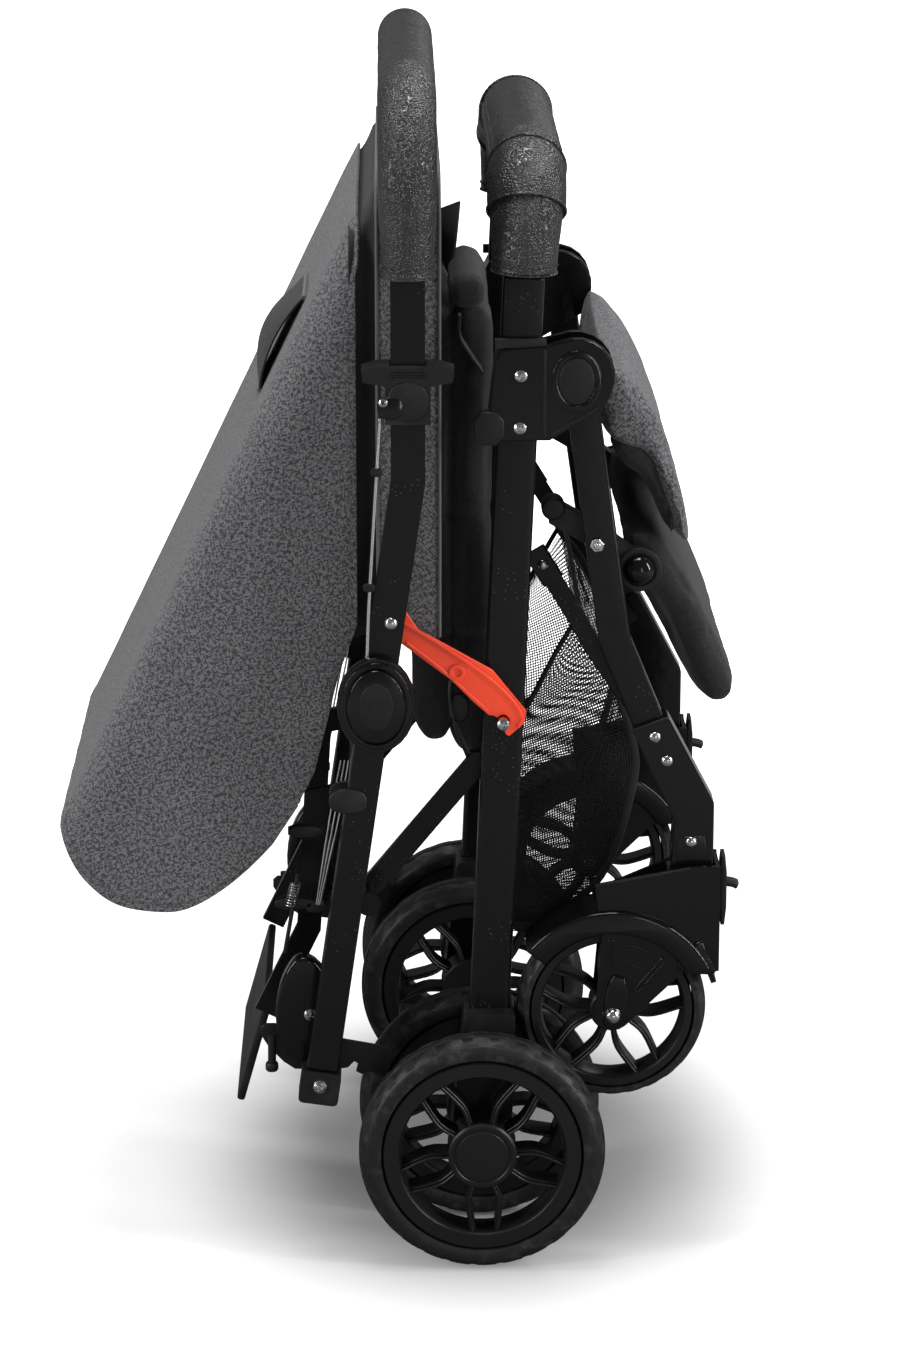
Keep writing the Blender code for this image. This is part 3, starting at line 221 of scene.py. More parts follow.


# The floor's brightness grows with the distance from the stroller.  Near it, camera rays see the floor darker
# than its lamps light it and its lift is missing, so a painted shadow lies round the wheels beside the real
# soft shadow; further out it turns white.  Mirrors see a painted reflection of the floor, dark near the
# stroller and lighter far off.
floor_look = Finish("floor_white_painted_shadow", (0.9, 0.9, 0.9), 0.9, Specular_IOR_Level=0.0)
floor_look.shader.inputs["Emission Color"].default_value = WHITE
seen, clear, mirrored = rays(floor_look.tree)
floor_x, floor_y, floor_z = floor_look.axes(floor_look.place())
floor_beside = floor_x - AXLE_X
floor_square = floor_beside * floor_beside + floor_y * floor_y * 0.5
floor_far = floor_square.math("SQRT", floor_square)
# Painted shadow: inside an ellipse round the rear axle the floor is not lifted, so it stays grey there.
lift_beside_painted_shadow = floor_far.between(0.1, 0.27) * (FAR_LIFT - PAINTED_SHADOW_LIFT)
lift_with_painted_shadow = lift_beside_painted_shadow + floor_far.between(0.3, 1.3) * HORIZON_LIFT + PAINTED_SHADOW_LIFT
# Painted shade: camera rays see the floor darker (0.36) than light bounced from it (0.6).
floor_with_painted_shade = floor_look.mix(seen, (0.6, 0.6, 0.6), (0.36, 0.36, 0.36))
# Painted reflection: mirrored rays see the floor dark near the stroller and lighter far off, which lays
# gradients along the tubes.
painted_reflection_floor = floor_look.mix(floor_far.between(0.2, 1.7), (0.09, 0.09, 0.09), (0.34, 0.34, 0.34))
floor_look.put("Base Color", floor_look.mix(mirrored, floor_with_painted_shade, painted_reflection_floor))
floor_look.put("Emission Strength", (seen + clear) * lift_with_painted_shadow)
floor_mesh = bpy.data.meshes.new("studio_floor")
corners = [(x * FLOOR_HALF, y * FLOOR_HALF, 0) for x, y in ((-1, -1), (1, -1), (1, 1), (-1, 1))]
floor_mesh.from_pydata(corners, [], [(0, 1, 2, 3)])
floor_mesh.materials.append(floor_look.material)
shown("studio_floor", floor_mesh)

world = bpy.data.worlds.new("studio")
bpy.context.scene.world = world
world.use_nodes = True
sky = world.node_tree.nodes["Background"]
sky.inputs["Color"].default_value = WHITE
seen, clear, mirrored = rays(world.node_tree)
strength = (seen + clear) * (1.0 - AMBIENT) - mirrored * (AMBIENT - MIRRORED_SKY) + AMBIENT
world.node_tree.links.new(strength.socket, sky.inputs["Strength"])

LAMP_AIM = Vector((0.0, 0.0, 0.45))
for name, place, width, height, power in (
        ("top_lamp", (-0.1, 0.0, 3.2), 1.0, 1.0, 62.0),
        ("left_lamp", (-2.6, -1.6, 1.5), 0.28, 1.9, 52.0),
        ("right_lamp", (2.6, -1.2, 1.4), 0.28, 1.9, 56.0),
        ("front_lamp", (0.9, -3.4, 0.5), 0.15, 1.2, 5.0),
        ("back_right_lamp", (1.4, 1.5, 2.3), 0.9, 0.9, 22.0),
        ("back_left_lamp", (-1.5, 1.3, 2.3), 0.7, 0.7, 6.0)):
    light = bpy.data.lights.new(name, "AREA")
    light.shape = "RECTANGLE"
    light.size = width
    light.size_y = height
    light.energy = power
    aimed(shown(name, light), place, LAMP_AIM - Vector(place))


def coloured(mesh, finish):
    mesh.materials.clear()
    mesh.materials.append(finish.material)
    return mesh


def carried(piece, body):
    """The piece rides on the body that carries it."""
    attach(piece, body)
    return piece


def finished(mesh, name, finish, body):
    """A mesh becomes a piece, with its finish and its body."""
    return carried(shown(name, coloured(mesh, finish)), body)


def evaluated(thing):
    """The mesh that the object's curve or modifiers make."""
    return bpy.data.meshes.new_from_object(thing.evaluated_get(bpy.context.evaluated_depsgraph_get()))


def settle(piece):
    """The piece's modifiers are applied."""
    mesh = evaluated(piece)
    piece.modifiers.clear()
    piece.data = mesh
    return piece


@contextmanager
def edited(mesh):
    """The mesh opened as a bmesh, and written back."""
    shell = bmesh.new()
    shell.from_mesh(mesh)
    yield shell
    shell.to_mesh(mesh)
    shell.free()


def smooth_by_angle(mesh, degrees):
    """Shaded smooth, but for the edges that are sharper than this."""
    with edited(mesh) as shell:
        for face in shell.faces:
            face.smooth = True
        for edge in shell.edges:
            edge.smooth = len(edge.link_faces) == 2 and edge.calc_face_angle(0.0) < math.radians(degrees)
    return mesh


def circle(steps):
    """Points (cosine, sine) round a circle."""
    turns = [2 * math.pi * i / steps for i in range(steps)]
    return [(math.cos(a), math.sin(a)) for a in turns]


def ring_section(radius, sides):
    return [(radius * a, radius * b) for a, b in circle(sides)]


def bar_section(width, depth, edge):
    """A flat bar's cross-section with its corners taken off."""
    w, d = width / 2, depth / 2
    return [(-w + edge, -d), (w - edge, -d), (w, -d + edge), (w, d - edge), (w - edge, d), (-w + edge, d),
            (-w, d - edge), (-w, -d + edge)]


def smooth_line(points, steps):
    """A curve through the points, with this many steps between each pair."""
    points = [Vector(p) for p in points]
    ends = [points[0] * 2 - points[1], *points, points[-1] * 2 - points[-2]]
    line = []
    for i in range(1, len(ends) - 2):
        a, b, c, d = ends[i - 1:i + 3]
        for k in range(steps):
            t = k / steps
            line.append(0.5 * (2 * b + (c - a) * t + (2 * a - 5 * b + 4 * c - d) * t * t
                               + (3 * b - a - 3 * c + d) * t ** 3))
    return line + [points[-1]]


def turned_out(mesh):
    """The mesh's doubles are merged and its faces turned outwards."""
    with edited(mesh) as shell:
        bmesh.ops.remove_doubles(shell, verts=shell.verts, dist=0.00001)
        bmesh.ops.recalc_face_normals(shell, faces=shell.faces)
    return mesh


def skin(name, loops, closed=False):
    """A mesh over loops of points, each joined to the next, with a lid on both ends if it isn't closed."""
    count = len(loops[0])
    rows = len(loops)
    faces = []
    for i in range(rows if closed else rows - 1):
        a, b = i * count, (i + 1) % rows * count
        for k in range(count):
            n = (k + 1) % count
            faces.append((a + k, a + n, b + n, b + k))
    if not closed:
        faces.append(tuple(range(count))[::-1])
        faces.append(tuple((rows - 1) * count + k for k in range(count)))
    mesh = bpy.data.meshes.new(name)
    mesh.from_pydata([tuple(p) for loop in loops for p in loop], [], faces)
    return turned_out(mesh)


def framed(path, side):
    """Each point of a path with the way across it, as near to side as it can be, and the way up."""
    frames = []
    for i, point in enumerate(path):
        ahead = (path[min(i + 1, len(path) - 1)] - path[max(i - 1, 0)]).normalized()
        across = (side - ahead * ahead.dot(side)).normalized()
        frames.append((point, across, ahead.cross(across)))
    return frames


def swept(name, path, section, side=(0, 1, 0), sizes=None, degrees=40.0):
    """A solid that follows a path.  The section's first direction is along side."""
    loops = []
    for i, (point, across, up) in enumerate(framed([Vector(p) for p in path], Vector(side))):
        size = sizes[i] if sizes else 1.0
        loops.append([point + (across * a + up * b) * size for a, b in section])
    return smooth_by_angle(skin(name, loops), degrees)


def bar(name, path, section, finish, body, slot=None, **more):
    """A swept piece on its body."""
    finished(swept(name, path, section, **more), name, finish, body)


def lathed(name, profile, steps, centre=(0, 0, 0), cut=None):
    """A closed profile of (radius, offset) turned about the line through centre that runs across."""
    loops = []
    for i, (u, v) in enumerate(circle(steps)):
        radii = [radius + (cut(i, k) if cut else 0.0) for k, (radius, _) in enumerate(profile)]
        loops.append([Vector(centre) + Vector((r * u, offset, r * v)) for r,
                      (_, offset) in zip(radii, profile)])
    return smooth_by_angle(skin(name, loops, closed=True), 40.0)


def plate(name, outline, y, thickness, edge=0.0, holes=()):
    """A plate of this outline, seen from the near side, with softened edges."""
    flat = bpy.data.curves.new(name, "CURVE")
    flat.dimensions = "2D"
    flat.fill_mode = "BOTH"
    flat.extrude = thickness / 2 - edge
    flat.bevel_depth = edge
    flat.bevel_resolution = 2
    flat.offset = -edge
    for loop in (outline, *holes):
        spline = flat.splines.new("POLY")
        spline.points.add(len(loop) - 1)
        for point, (x, z) in zip(spline.points, loop):
            point.co = (x + AXLE_X, z, 0.0, 1.0)
        spline.use_cyclic_u = True
    holder = shown(name, flat)
    bpy.context.view_layer.update()
    mesh = evaluated(holder)
    bpy.data.objects.remove(holder, do_unlink=True)
    bpy.data.curves.remove(flat)
    mesh.transform(Matrix.Translation((0, y, 0)) @ Matrix.Rotation(math.radians(90), 4, "X"))
    return smooth_by_angle(turned_out(mesh), 40.0)


def round_off(outline, passes=2):
    """The outline with its corners cut back, as often as it says."""
    for _ in range(passes):
        cut = []
        for i, (x, z) in enumerate(outline):
            nx, nz = outline[(i + 1) % len(outline)]
            cut += [(x * 0.75 + nx * 0.25, z * 0.75 + nz * 0.25),
                    (x * 0.25 + nx * 0.75, z * 0.25 + nz * 0.75)]
        outline = cut
    return outline


def joined(name, meshes):
    whole = bmesh.new()
    for mesh in meshes:
        whole.from_mesh(mesh)
        bpy.data.meshes.remove(mesh)
    mesh = bpy.data.meshes.new(name)
    whole.to_mesh(mesh)
    whole.free()
    return mesh


# Painted tubes: bent steel tube, flat on its sides and powder coated in satin black, which carries the
# handle, the legs and the links.  The paint has fine dust in it.
paint = Finish("satin_black_paint", (0.0045, 0.0045, 0.005), 0.24, Specular_IOR_Level=0.3)
spot = paint.worn((60, 4, 0.16, 0.16), (700, 1, 0.00004))
dust = paint.cells(spot, 330) < 0.13
sparse = paint.noise(spot, 23, 3) > 0.58
paint.put("Base Color", paint.mix(dust * sparse, (0.0045, 0.0045, 0.005), (0.07, 0.07, 0.075)))


def dress(node, finish, reshape=None):
    """A CAD node's own shape, joined up and shaded smoothly, in its real finish."""
    mesh = frame["nodes"][node].data.copy()
    for vert in mesh.vertices if reshape else ():
        vert.co = reshape(vert.co.copy())
    with edited(mesh) as shell:
        bmesh.ops.remove_doubles(shell, verts=shell.verts, dist=0.00002)
        bmesh.ops.dissolve_limit(shell, angle_limit=math.radians(0.6), verts=shell.verts, edges=shell.edges)
    smooth_by_angle(mesh, 35.0)
    piece = shown(node + "_dressed", coloured(mesh, finish))
    piece.modifiers.new("even", "WEIGHTED_NORMAL").keep_sharp = True
    settle(piece)
    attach(piece, BODY[node])
    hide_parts(node)


for end in SIDES.values():
    for tube in ("rear_leg_", "front_leg_", "lower_tube_", "side_link_"):
        dress(tube + end, paint)
for tube in ("push_handle", "front_bar", "lower_cross_bar"):
    dress(tube, paint)


# Moulded pieces: glass filled nylon, matt on the blocks that clamp the tubes and glossy on brackets, shoes
# and forks.  Each is screwed or riveted to its tube.
matt = Finish("matt_black_nylon", (0.008, 0.008, 0.009), 0.46, Specular_IOR_Level=0.34)
spot = matt.worn((45, 4, 0.22, 0.32), (1500, 2, 0.00012))
matt.put("Base Color", matt.mix(matt.noise(spot, 40, 5).between(0.45, 0.75),
                                (0.007, 0.007, 0.008), (0.016, 0.016, 0.018)))
gloss = Finish("gloss_black_nylon", (0.0035, 0.0035, 0.004), 0.12, Specular_IOR_Level=0.4)
gloss.worn((30, 5, 0.18, 0.04), (120, 2, 0.00008))


def lowered_corner(co):
    """The fork's inner plate is lower at its rear top corner than its CAD solid."""
    corner = abs(co.y) < 0.165 and co.z > 0.272 and co.x < 0.125 + AXLE_X
    return co - Vector((0, 0, 0.017)) if corner else co


for end in SIDES.values():
    for block_name in ("axle_housing_", "leg_rest_hinge_", "end_block_"):
        dress(block_name + end, matt)
    for block_name in ("leg_bracket_", "caster_housing_", "oval_hub_", "front_shoe_"):
        dress(block_name + end, gloss)
    dress("caster_fork_" + end, gloss, lowered_corner)
dress("foot_board", matt)
dress("brake_pedal", matt)


# Wheels: a grey-black foam tyre pressed on a moulded rim with five pairs of thin kinked spokes.  The rear
# ones run in pairs on one axle, with a snap-in cap on the outer ones.
foam = Finish("black_foam_tyre", (0.011, 0.011, 0.012), 0.44, Specular_IOR_Level=0.4)
spot = foam.worn((120, 4, 0.3, 0.3), (1100, 3, 0.00018))
foam.put("Base Color", foam.mix(foam.noise(spot, 90, 6, 0.7).between(0.48, 0.72),
                                (0.009, 0.009, 0.01), (0.03, 0.03, 0.032)))
rim_look = Finish("satin_rim_nylon", (0.007, 0.007, 0.0075), 0.36, Specular_IOR_Level=0.34)
rim_look.worn((50, 4, 0.2, 0.28), (1300, 1, 0.00006))

SPOKE_PAIRS = 5
SPOKE_GAP = 0.012
TREAD_STEPS = 168
TREAD_CUT = 0.0011


def both_ways(profile):
    """A profile from one edge to its middle, and on to the other edge."""
    return profile + [(r, -h) for r, h in profile[::-1] if h]


def tyre_profile(radius, rim_radius, half):
    seat = rim_radius + 0.0004
    foot = [(seat, 0.004 - half), (seat + 0.0012, 0.0012 - half), (seat + 0.004, -half)]
    wall = ((0.009, 1), (0.006, 0.95), (0.0052, 0.88), (0.0058, 0.85), (0.0046, 0.8), (0.0022, 0.6),
            (0.0008, 0.38), (0.0018, 0.33), (0.0018, 0.25), (0.0002, 0.2))
    return both_ways(foot + [(radius - down, -half * share) for down, share in wall])


def tread(step, point):
    """Slanted cuts across the two shoulders."""
    shoulder = point in (7, 8, 9) or point in (16, 17, 18)
    lean = point if point < 13 else 25 - point
    return -TREAD_CUT if shoulder and (step + lean) % 6 < 2 else 0.0


def wheel(kind, place, radius, rim_radius, rim_inner, hub, bore, half, first, cap_side=0):
    """A tyre and its rim.  The first pair of spokes is at the angle first, and the cap on cap_side."""
    name = f"{kind}_{place}"
    body = f"{kind}_wheel_{place}"
    low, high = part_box(f"{kind}_tyre_{place}")
    centre = (low + high) / 2
    centre.z = high.z - radius
    tyre = finished(lathed(name, tyre_profile(radius, rim_radius, half), TREAD_STEPS, centre, tread),
                    name + "_foam_tyre", foam, body)
    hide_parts(f"{kind}_tyre_{place}")
    flange = half - 0.0006
    band = [(rim_radius, 0.0022 - flange), (rim_radius - 0.0008, -flange), (rim_inner + 0.0012, -flange),
            (rim_inner, 0.0012 - flange), (rim_inner - 0.0012, 0.006 - flange), (rim_inner - 0.0018, 0.0)]
    middle = [(bore, -flange), (hub - 0.0012, -flange), (hub, 0.0012 - flange), (hub - 0.0006, 0.0)]
    meshes = [lathed(name, both_ways(band), 96, centre), lathed(name, both_ways(middle), 64, centre)]
    kink = hub + (rim_inner - hub) * 0.36
    for pair in range(SPOKE_PAIRS):
        turn = Matrix.Rotation(-math.radians(first + 360 / SPOKE_PAIRS * pair), 3, "Y")
        for gap in (-SPOKE_GAP, SPOKE_GAP):
            line = smooth_line([(hub - 0.002, 0, gap * 0.55), (kink, 0, gap * 0.92),
                                (rim_inner + 0.001, 0, gap * 0.74)], 4)
            line = [turn @ point + centre for point in line]
            for thickness, share in ((0.0044, 0.62), (0.0018, 0.86)):
                meshes.append(swept(name, line, bar_section(2 * half * share, thickness, 0.0005)))
    if cap_side:
        cap = [(0.0, -0.004), (0.0188, -0.004), (0.0194, -0.0002), (0.0186, 0.0008), (0.01, 0.0012),
               (0.0, 0.0013)]
        bead = [(0.0205, 0.0), (0.0212, 0.0007), (0.0238, 0.0007), (0.0245, 0.0), (0.0225, -0.002)]
        for profile, steps in ((cap, 48), (bead, 64)):
            meshes.append(lathed(name, [(r, (flange + rise) * cap_side) for r, rise in profile], steps,
                                 centre))
    rim = finished(joined(name, meshes), name + "_spoked_rim", rim_look, body)
    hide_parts(f"{kind}_rim_{place}")


for side, end in SIDES.items():
    for row, cap_side in (("outer", side), ("inner", 0)):
        wheel("rear", f"{row}_{end}", radius=0.09, rim_radius=0.0723, rim_inner=0.0605, hub=0.025,
              bore=0.0058,
              half=0.015, first=56, cap_side=cap_side)
    wheel("front", end, radius=0.0695, rim_radius=0.0595, rim_inner=0.0525, hub=0.016, bore=0.0038,
          half=0.014, first=84)


# Zinc plated fasteners: pan head screws with a cross recess, domed rivets, hex nuts and cap nuts.  They hold
# the mouldings on the tubes and the pivots together.
zinc = Finish("zinc_plate", (0.62, 0.63, 0.66), 0.22, Metallic=1.0)
zinc.worn((400, 3, 0.22, 0.12), (900, 2, 0.0001))
dark_steel = Finish("dark_coated_steel", (0.02, 0.02, 0.022), 0.34, Metallic=0.6)
dark_steel.worn((80, 4, 0.25, 0.26), (600, 2, 0.00006))


def scatter_tree():
    """Geometry Nodes that set one piece on every point, turned and sized as the point says."""
    tree = bpy.data.node_groups.new("set_on_points", "GeometryNodeTree")
    for name, way, kind in (("Points", "INPUT", "Geometry"), ("Piece", "INPUT", "Object"),
                            ("Scale", "INPUT", "Float"), ("Finish", "INPUT", "Material"),
                            ("Set pieces", "OUTPUT", "Geometry")):
        tree.interface.new_socket(name, in_out=way, socket_type="NodeSocket" + kind)
    start, end, piece, turn, facing, put, real, look = [tree.nodes.new(kind) for kind in (
        "NodeGroupInput", "NodeGroupOutput", "GeometryNodeObjectInfo", "GeometryNodeInputNamedAttribute",
        "FunctionNodeEulerToRotation", "GeometryNodeInstanceOnPoints", "GeometryNodeRealizeInstances",
        "GeometryNodeSetMaterial")]
    turn.data_type = "FLOAT_VECTOR"
    turn.inputs[0].default_value = "turn"
    for source, output, target, place in (
            (start, "Piece", piece, "Object"), (start, "Points", put, "Points"),
            (piece, "Geometry", put, "Instance"), (turn, "Attribute", facing, 0),
            (facing, 0, put, "Rotation"),
            (start, "Scale", put, "Scale"), (put, "Instances", real, "Geometry"),
            (real, "Geometry", look, "Geometry"), (start, "Finish", look, "Material"),
            (look, "Geometry", end, "Set pieces")):
        tree.links.new(source.outputs[output], target.inputs[place])
    return tree


SET_ON_POINTS = scatter_tree()


def scatter(name, one, places, finish, body, scale=1.0):
    """The mesh called one is set at each (point, turn) in places, as one piece on one body."""
    pattern = shown(name + "_pattern", one)
    points = bpy.data.meshes.new(name)
    points.from_pydata([tuple(point) for point, _ in places], [], [])
    turns = points.attributes.new("turn", "FLOAT_VECTOR", "POINT")
    turns.data.foreach_set("vector", [value for _, turn in places for value in turn])
    piece = shown(name, points)
    modifier = piece.modifiers.new("set", "NODES")
    modifier.node_group = SET_ON_POINTS
    sockets = SET_ON_POINTS.interface.items_tree
    inputs = {item.name: item.identifier for item in sockets if item.in_out == "INPUT"}
    modifier[inputs["Piece"]] = pattern
    modifier[inputs["Scale"]] = scale
    modifier[inputs["Finish"]] = finish.material
    bpy.context.view_layer.update()
    settle(piece)
    bpy.data.objects.remove(pattern, do_unlink=True)
    coloured(piece.data, finish)
    carried(piece, body)


def mm(*values):
    """Pairs (x, z) that are written in millimetres."""
    return [(x / 1000, z / 1000) for x, z in zip(values[::2], values[1::2])]


def route(side, *values):
    """Points (x, y, z) that are written in millimetres, with y on this side."""
    return [at(x / 1000, side * y / 1000, z / 1000)
            for x, y, z in zip(values[::3], values[1::3], values[2::3])]


def facing_out(side, *values):
    """Places for scatter, written in millimetres and turned out on this side."""
    return [(point, (0.0, 0.0, math.pi if side > 0 else 0.0)) for point in route(side, *values)]


HEAD_R = 0.0046


def screw_head():
    """A pan head that faces the near side, with its cross cut in."""
    head = lathed("screw", [(0.0, 0.001), (HEAD_R, 0.001), (HEAD_R, -0.0004), (HEAD_R * 0.92, -0.0013),
                            (HEAD_R * 0.62, -0.0022), (HEAD_R * 0.2, -0.0026), (0.0, -0.0026)], 28)
    body = shown("screw", head)
    bars = [swept("cross", [(-x, 0, -z), (x, 0, z)], bar_section(0.0034, 0.0012, 0.0001))
            for x, z in ((0.0026, -0.00117), (0.0011, 0.0024))]
    cutter = shown("cross", joined("cross", bars))
    cutter.location.y = -0.0026
    cut = body.modifiers.new("cross", "BOOLEAN")
    cut.operation = "DIFFERENCE"
    cut.solver = "EXACT"
    cut.use_self = True
    cut.object = cutter
    bpy.context.view_layer.update()
    mesh = smooth_by_angle(settle(body).data, 30.0)
    bpy.data.objects.remove(cutter, do_unlink=True)
    bpy.data.objects.remove(body, do_unlink=True)
    return mesh


def hex_nut(radius, height):
    ring = [(radius * math.cos(math.radians(60 * i + 12)), radius * math.sin(math.radians(60 * i + 12)))
            for i in range(6)]
    loops = [[(x, y, z) for x, z in ring] for y in (0.001, -height)]
    loops.append([(x * 0.86, -height - 0.0006, z * 0.86) for x, z in ring])
    nut = smooth_by_angle(skin("nut", loops), 20.0)
    stub = lathed("stub", [(0.0, 0.0), (radius * 0.52, 0.0), (radius * 0.52, -height - 0.0022),
                           (radius * 0.36, -height - 0.003), (0.0, -height - 0.003)], 16)
    return joined("nut", [nut, stub])


SCREW = screw_head()
RIVET = lathed("rivet", mm(0, 1, 4.4, 1, 4.4, -0.5, 3.784, -1.6, 2.42, -2.5, 0, -2.8), 24)
NUT = hex_nut(0.0052, 0.003)
CAP_NUT = lathed("cap_nut", mm(0, 0, 7.4, 0, 7.4, -1.4, 6, -3, 5.6, -5.6, 4.2, -7.8, 2, -8.8, 0, -9), 28)
for side, end in SIDES.items():
    for name, head, body, scale, places in (
            ("bracket_screws_", SCREW, "rear_frame", 1.0, (26.7, 192.2, 658.1, 26.2, 192.2, 620.9)),
            ("stud_screw_", SCREW, "rear_frame", 1.0, (15.1, 196.5, 405.3)),
            ("shoe_rivets_", RIVET, "front_frame", 1.0,
             (124.3, 187.2, 392.6, 133.2, 187.2, 374.6, 151.5, 187.2, 313.2)),
            ("leg_nut_", NUT, "front_frame", 1.0, (81.4, 183.2, 534.1)),
            ("end_screw_", SCREW, "handle_frame", 1.15, (-117.8, 216.3, 137)),
            ("hub_rivet_", RIVET, "handle_frame", 1.1, (-64.8, 214.2, 485.1)),
            ("lug_screw_", SCREW, "release_collar_" + end, 0.7, (-69.7, 219.2, 645)),
            ("axle_nut_", CAP_NUT, "caster_" + end, 1.0, (95.5, 195.5, 184))):
        scatter(name + end, head, facing_out(side, *places), zinc, body, scale)
    dress("front_axle_bolt_" + end, zinc)
    dress("fold_stud_" + end, zinc)
    dress("hook_plate_" + end, dark_steel)
dress("rear_axle", dark_steel)


# Grips: thick foam sleeves wrapped in grained leather cloth.  Each is closed by a sewn seam along its inner
# side, and by a turned hem at its feet, where the tube goes in.  The cloth puckers round the bends.
leather = Finish("grained_leather_cloth", (0.009, 0.009, 0.01), 0.4, Specular_IOR_Level=0.5)
spot = leather.worn((55, 4, 0.25, 0.17))
pebble = leather.cells(spot, 620)
leather.put("Base Color", leather.mix(pebble.between(0.05, 0.75), (0.01, 0.01, 0.011), (0.026, 0.026, 0.029)))
creases = leather.noise(leather.stretch(spot, (1, 1, 0.35)), 70, 3, 0.6)
leather.relief(pebble.between(0.0, 0.8) * -0.42 + 0.42 + creases * 2.2, 0.0012)
thread = Finish("sewing_thread", (0.02, 0.02, 0.021), 0.55)
thread.worn((900, 2, 0.3, 0.4), (2400, 1, 0.00008))
GRIP_SIDES = 44
GRIP_HEM = 0.006
SEAM_HALF = 0.11
TAPER_LENGTH = 0.06
STITCH_STEP = 0.0036
HEM_STITCHES = 34
REAR_LEAN = math.radians(2.39)
X_WAY, Y_WAY = Vector((1, 0, 0)), Vector((0, 1, 0))


def hoop(half, foot, top, corner, up_steps, turn_steps, across_steps):
    """Points (y, z) up the near side of a hoop, round its two corners and down its far side."""
    rise = top - corner - foot
    near = [(-half, foot + rise * i / up_steps) for i in range(up_steps)]
    for i in range(turn_steps + 1):
        a = math.radians(90 * i / turn_steps)
        near.append((-half + corner * (1 - math.cos(a)), top - corner * (1 - math.sin(a))))
    straight = half - corner
    middle = [(-straight + 2 * straight * i / across_steps, top) for i in range(1, across_steps)]
    return near + middle + [(-y, z) for y, z in near[::-1]]


def bow(x, foot, top, half, corner, lean=0.0):
    """The line of a bent bar, which leans back from its foot."""
    return [at(x + (z - foot) * math.tan(lean), y, z) for y, z in hoop(half, foot, top, corner, 16, 14, 26)]


def spoke(across, up, a):
    return across * math.cos(a) + up * math.sin(a)


def spin(*ways):
    """The turn that takes the three axes to these ways."""
    return Matrix(ways).transposed().to_euler()


def grip(name, node, body, path, radius, seam):
    """A sleeve along the path, with its seam at this angle."""
    def taper(z):
        share = min(1.0, max(0.0, (z - path[0].z) / TAPER_LENGTH))
        return 0.86 + 0.14 * share * share * (3 - 2 * share)

    frames = framed(path, X_WAY)
    last = len(path) - 1
    ends = [(0, 0.6), (0, 0.9), (0, 0.97), (0, 1.03), (1, 1.035), (2, 1.0), (2, 0.975)]
    stations = ends + [(i, 1.0) for i in range(3, last - 2)] + [(last - i, size) for i, size in ends[::-1]]
    shift = {0: GRIP_HEM * 0.5, 1: GRIP_HEM * 0.1}
    loops = []
    for k, (i, size) in enumerate(stations):
        point, across, up = frames[i]
        order = min(k, len(stations) - 1 - k)
        hand = 1 if k < len(stations) / 2 else -1
        point = point + across.cross(up) * shift.get(order, 0.0) * hand
        loop = []
        for j in range(GRIP_SIDES):
            a = 2 * math.pi * j / GRIP_SIDES
            way = spoke(across, up, a)
            swell = noise.noise(point * 22 + way * 0.7) * 0.02 + noise.noise(point * 60 + way) * 0.008
            bend = math.exp(-((abs(point.y) - 0.15) / 0.028) ** 2) * max(0.0, math.sin(a) * 0.5 + 0.5)
            pucker = bend * math.sin(point.y * 700 + point.z * 600) * 0.018
            groove = -0.035 * math.exp(-((a - seam + math.pi) % (2 * math.pi) - math.pi) ** 2 / 0.006)
            grow = size * (1 + swell + pucker + groove) if 4 < order else size
            loop.append(point + way * radius * grow * taper(point.z))
        loops.append(loop)
    piece = finished(smooth_by_angle(skin(name, loops), 50.0), name, leather, body)
    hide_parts(node)
    stitch = swept("stitch", [(0, 0, -0.0014), (0, 0.0005, -0.0008), (0, 0.0005, 0.0008), (0, 0, 0.0014)],
                   ring_section(0.00035, 8))
    places = []
    for i in range(3, last - 3):
        point, across, up = frames[i]
        step = path[i + 1] - point
        count = max(1, round(step.length / STITCH_STEP))
        for k in range(count):
            for a in (seam - SEAM_HALF, seam + SEAM_HALF):
                where = point + step * k / count + spoke(across, up, a) * radius * 0.992 * taper(point.z)
                places.append((where, spin(across, up, across.cross(up))))
    scatter(name + "_stitches", stitch, places, thread, body)
    for end, hand in ((0, 1), (last, -1)):
        point, across, up = frames[end]
        ahead = across.cross(up) * hand
        places = []
        for j in range(HEM_STITCHES):
            way = spoke(across, up, 2 * math.pi * j / HEM_STITCHES)
            where = point + ahead * GRIP_HEM + way * radius * 1.004 * taper(path[0].z + GRIP_HEM)
            places.append((where, spin(ahead, way, ahead.cross(way))))
        scatter(f"{name}_hem_{end}", stitch, places, thread, body)


FRONT_BAR_X = 0.0016 + (0.728 - 0.07) * math.tan(REAR_LEAN)
front_bow = bow(FRONT_BAR_X, foot=0.7286, top=0.798, half=0.174, corner=0.06, lean=REAR_LEAN)
handle_bow = bow(-0.0525, foot=0.7306, top=0.853, half=0.205, corner=0.065)
grip("front_bar_sleeve", "front_bar_grip", "rear_frame", front_bow, 0.0266, math.radians(200))
grip("push_handle_sleeve", "push_handle_grip", "handle_frame", handle_bow, 0.0206, math.radians(20))
for end, part in (("near", front_bow[21:28]), ("far", front_bow[-29:-22])):
    band = swept("band", part, ring_section(0.0271, 44), X_WAY, [1.0, *[1.03] * (len(part) - 2), 1.0], 60.0)
    finished(band, "front_bar_band_" + end, leather, "rear_frame")
    for height, middle, ahead in (("low", part[0], part[1] - part[0]),
                                  ("high", part[-1], part[-1] - part[-2])):
        ahead.normalize()
        across = X_WAY - ahead * ahead.x
        up = ahead.cross(across.normalized())
        ring = [middle + spoke(across.normalized(), up, 2 * math.pi * i / 48) * 0.0275 for i in range(49)]
        bar(f"front_bar_piping_{end}_{height}", ring, ring_section(0.0011, 8), leather, "rear_frame",
            "leatherette", side=(0.3, 0.1, 1), degrees=60)
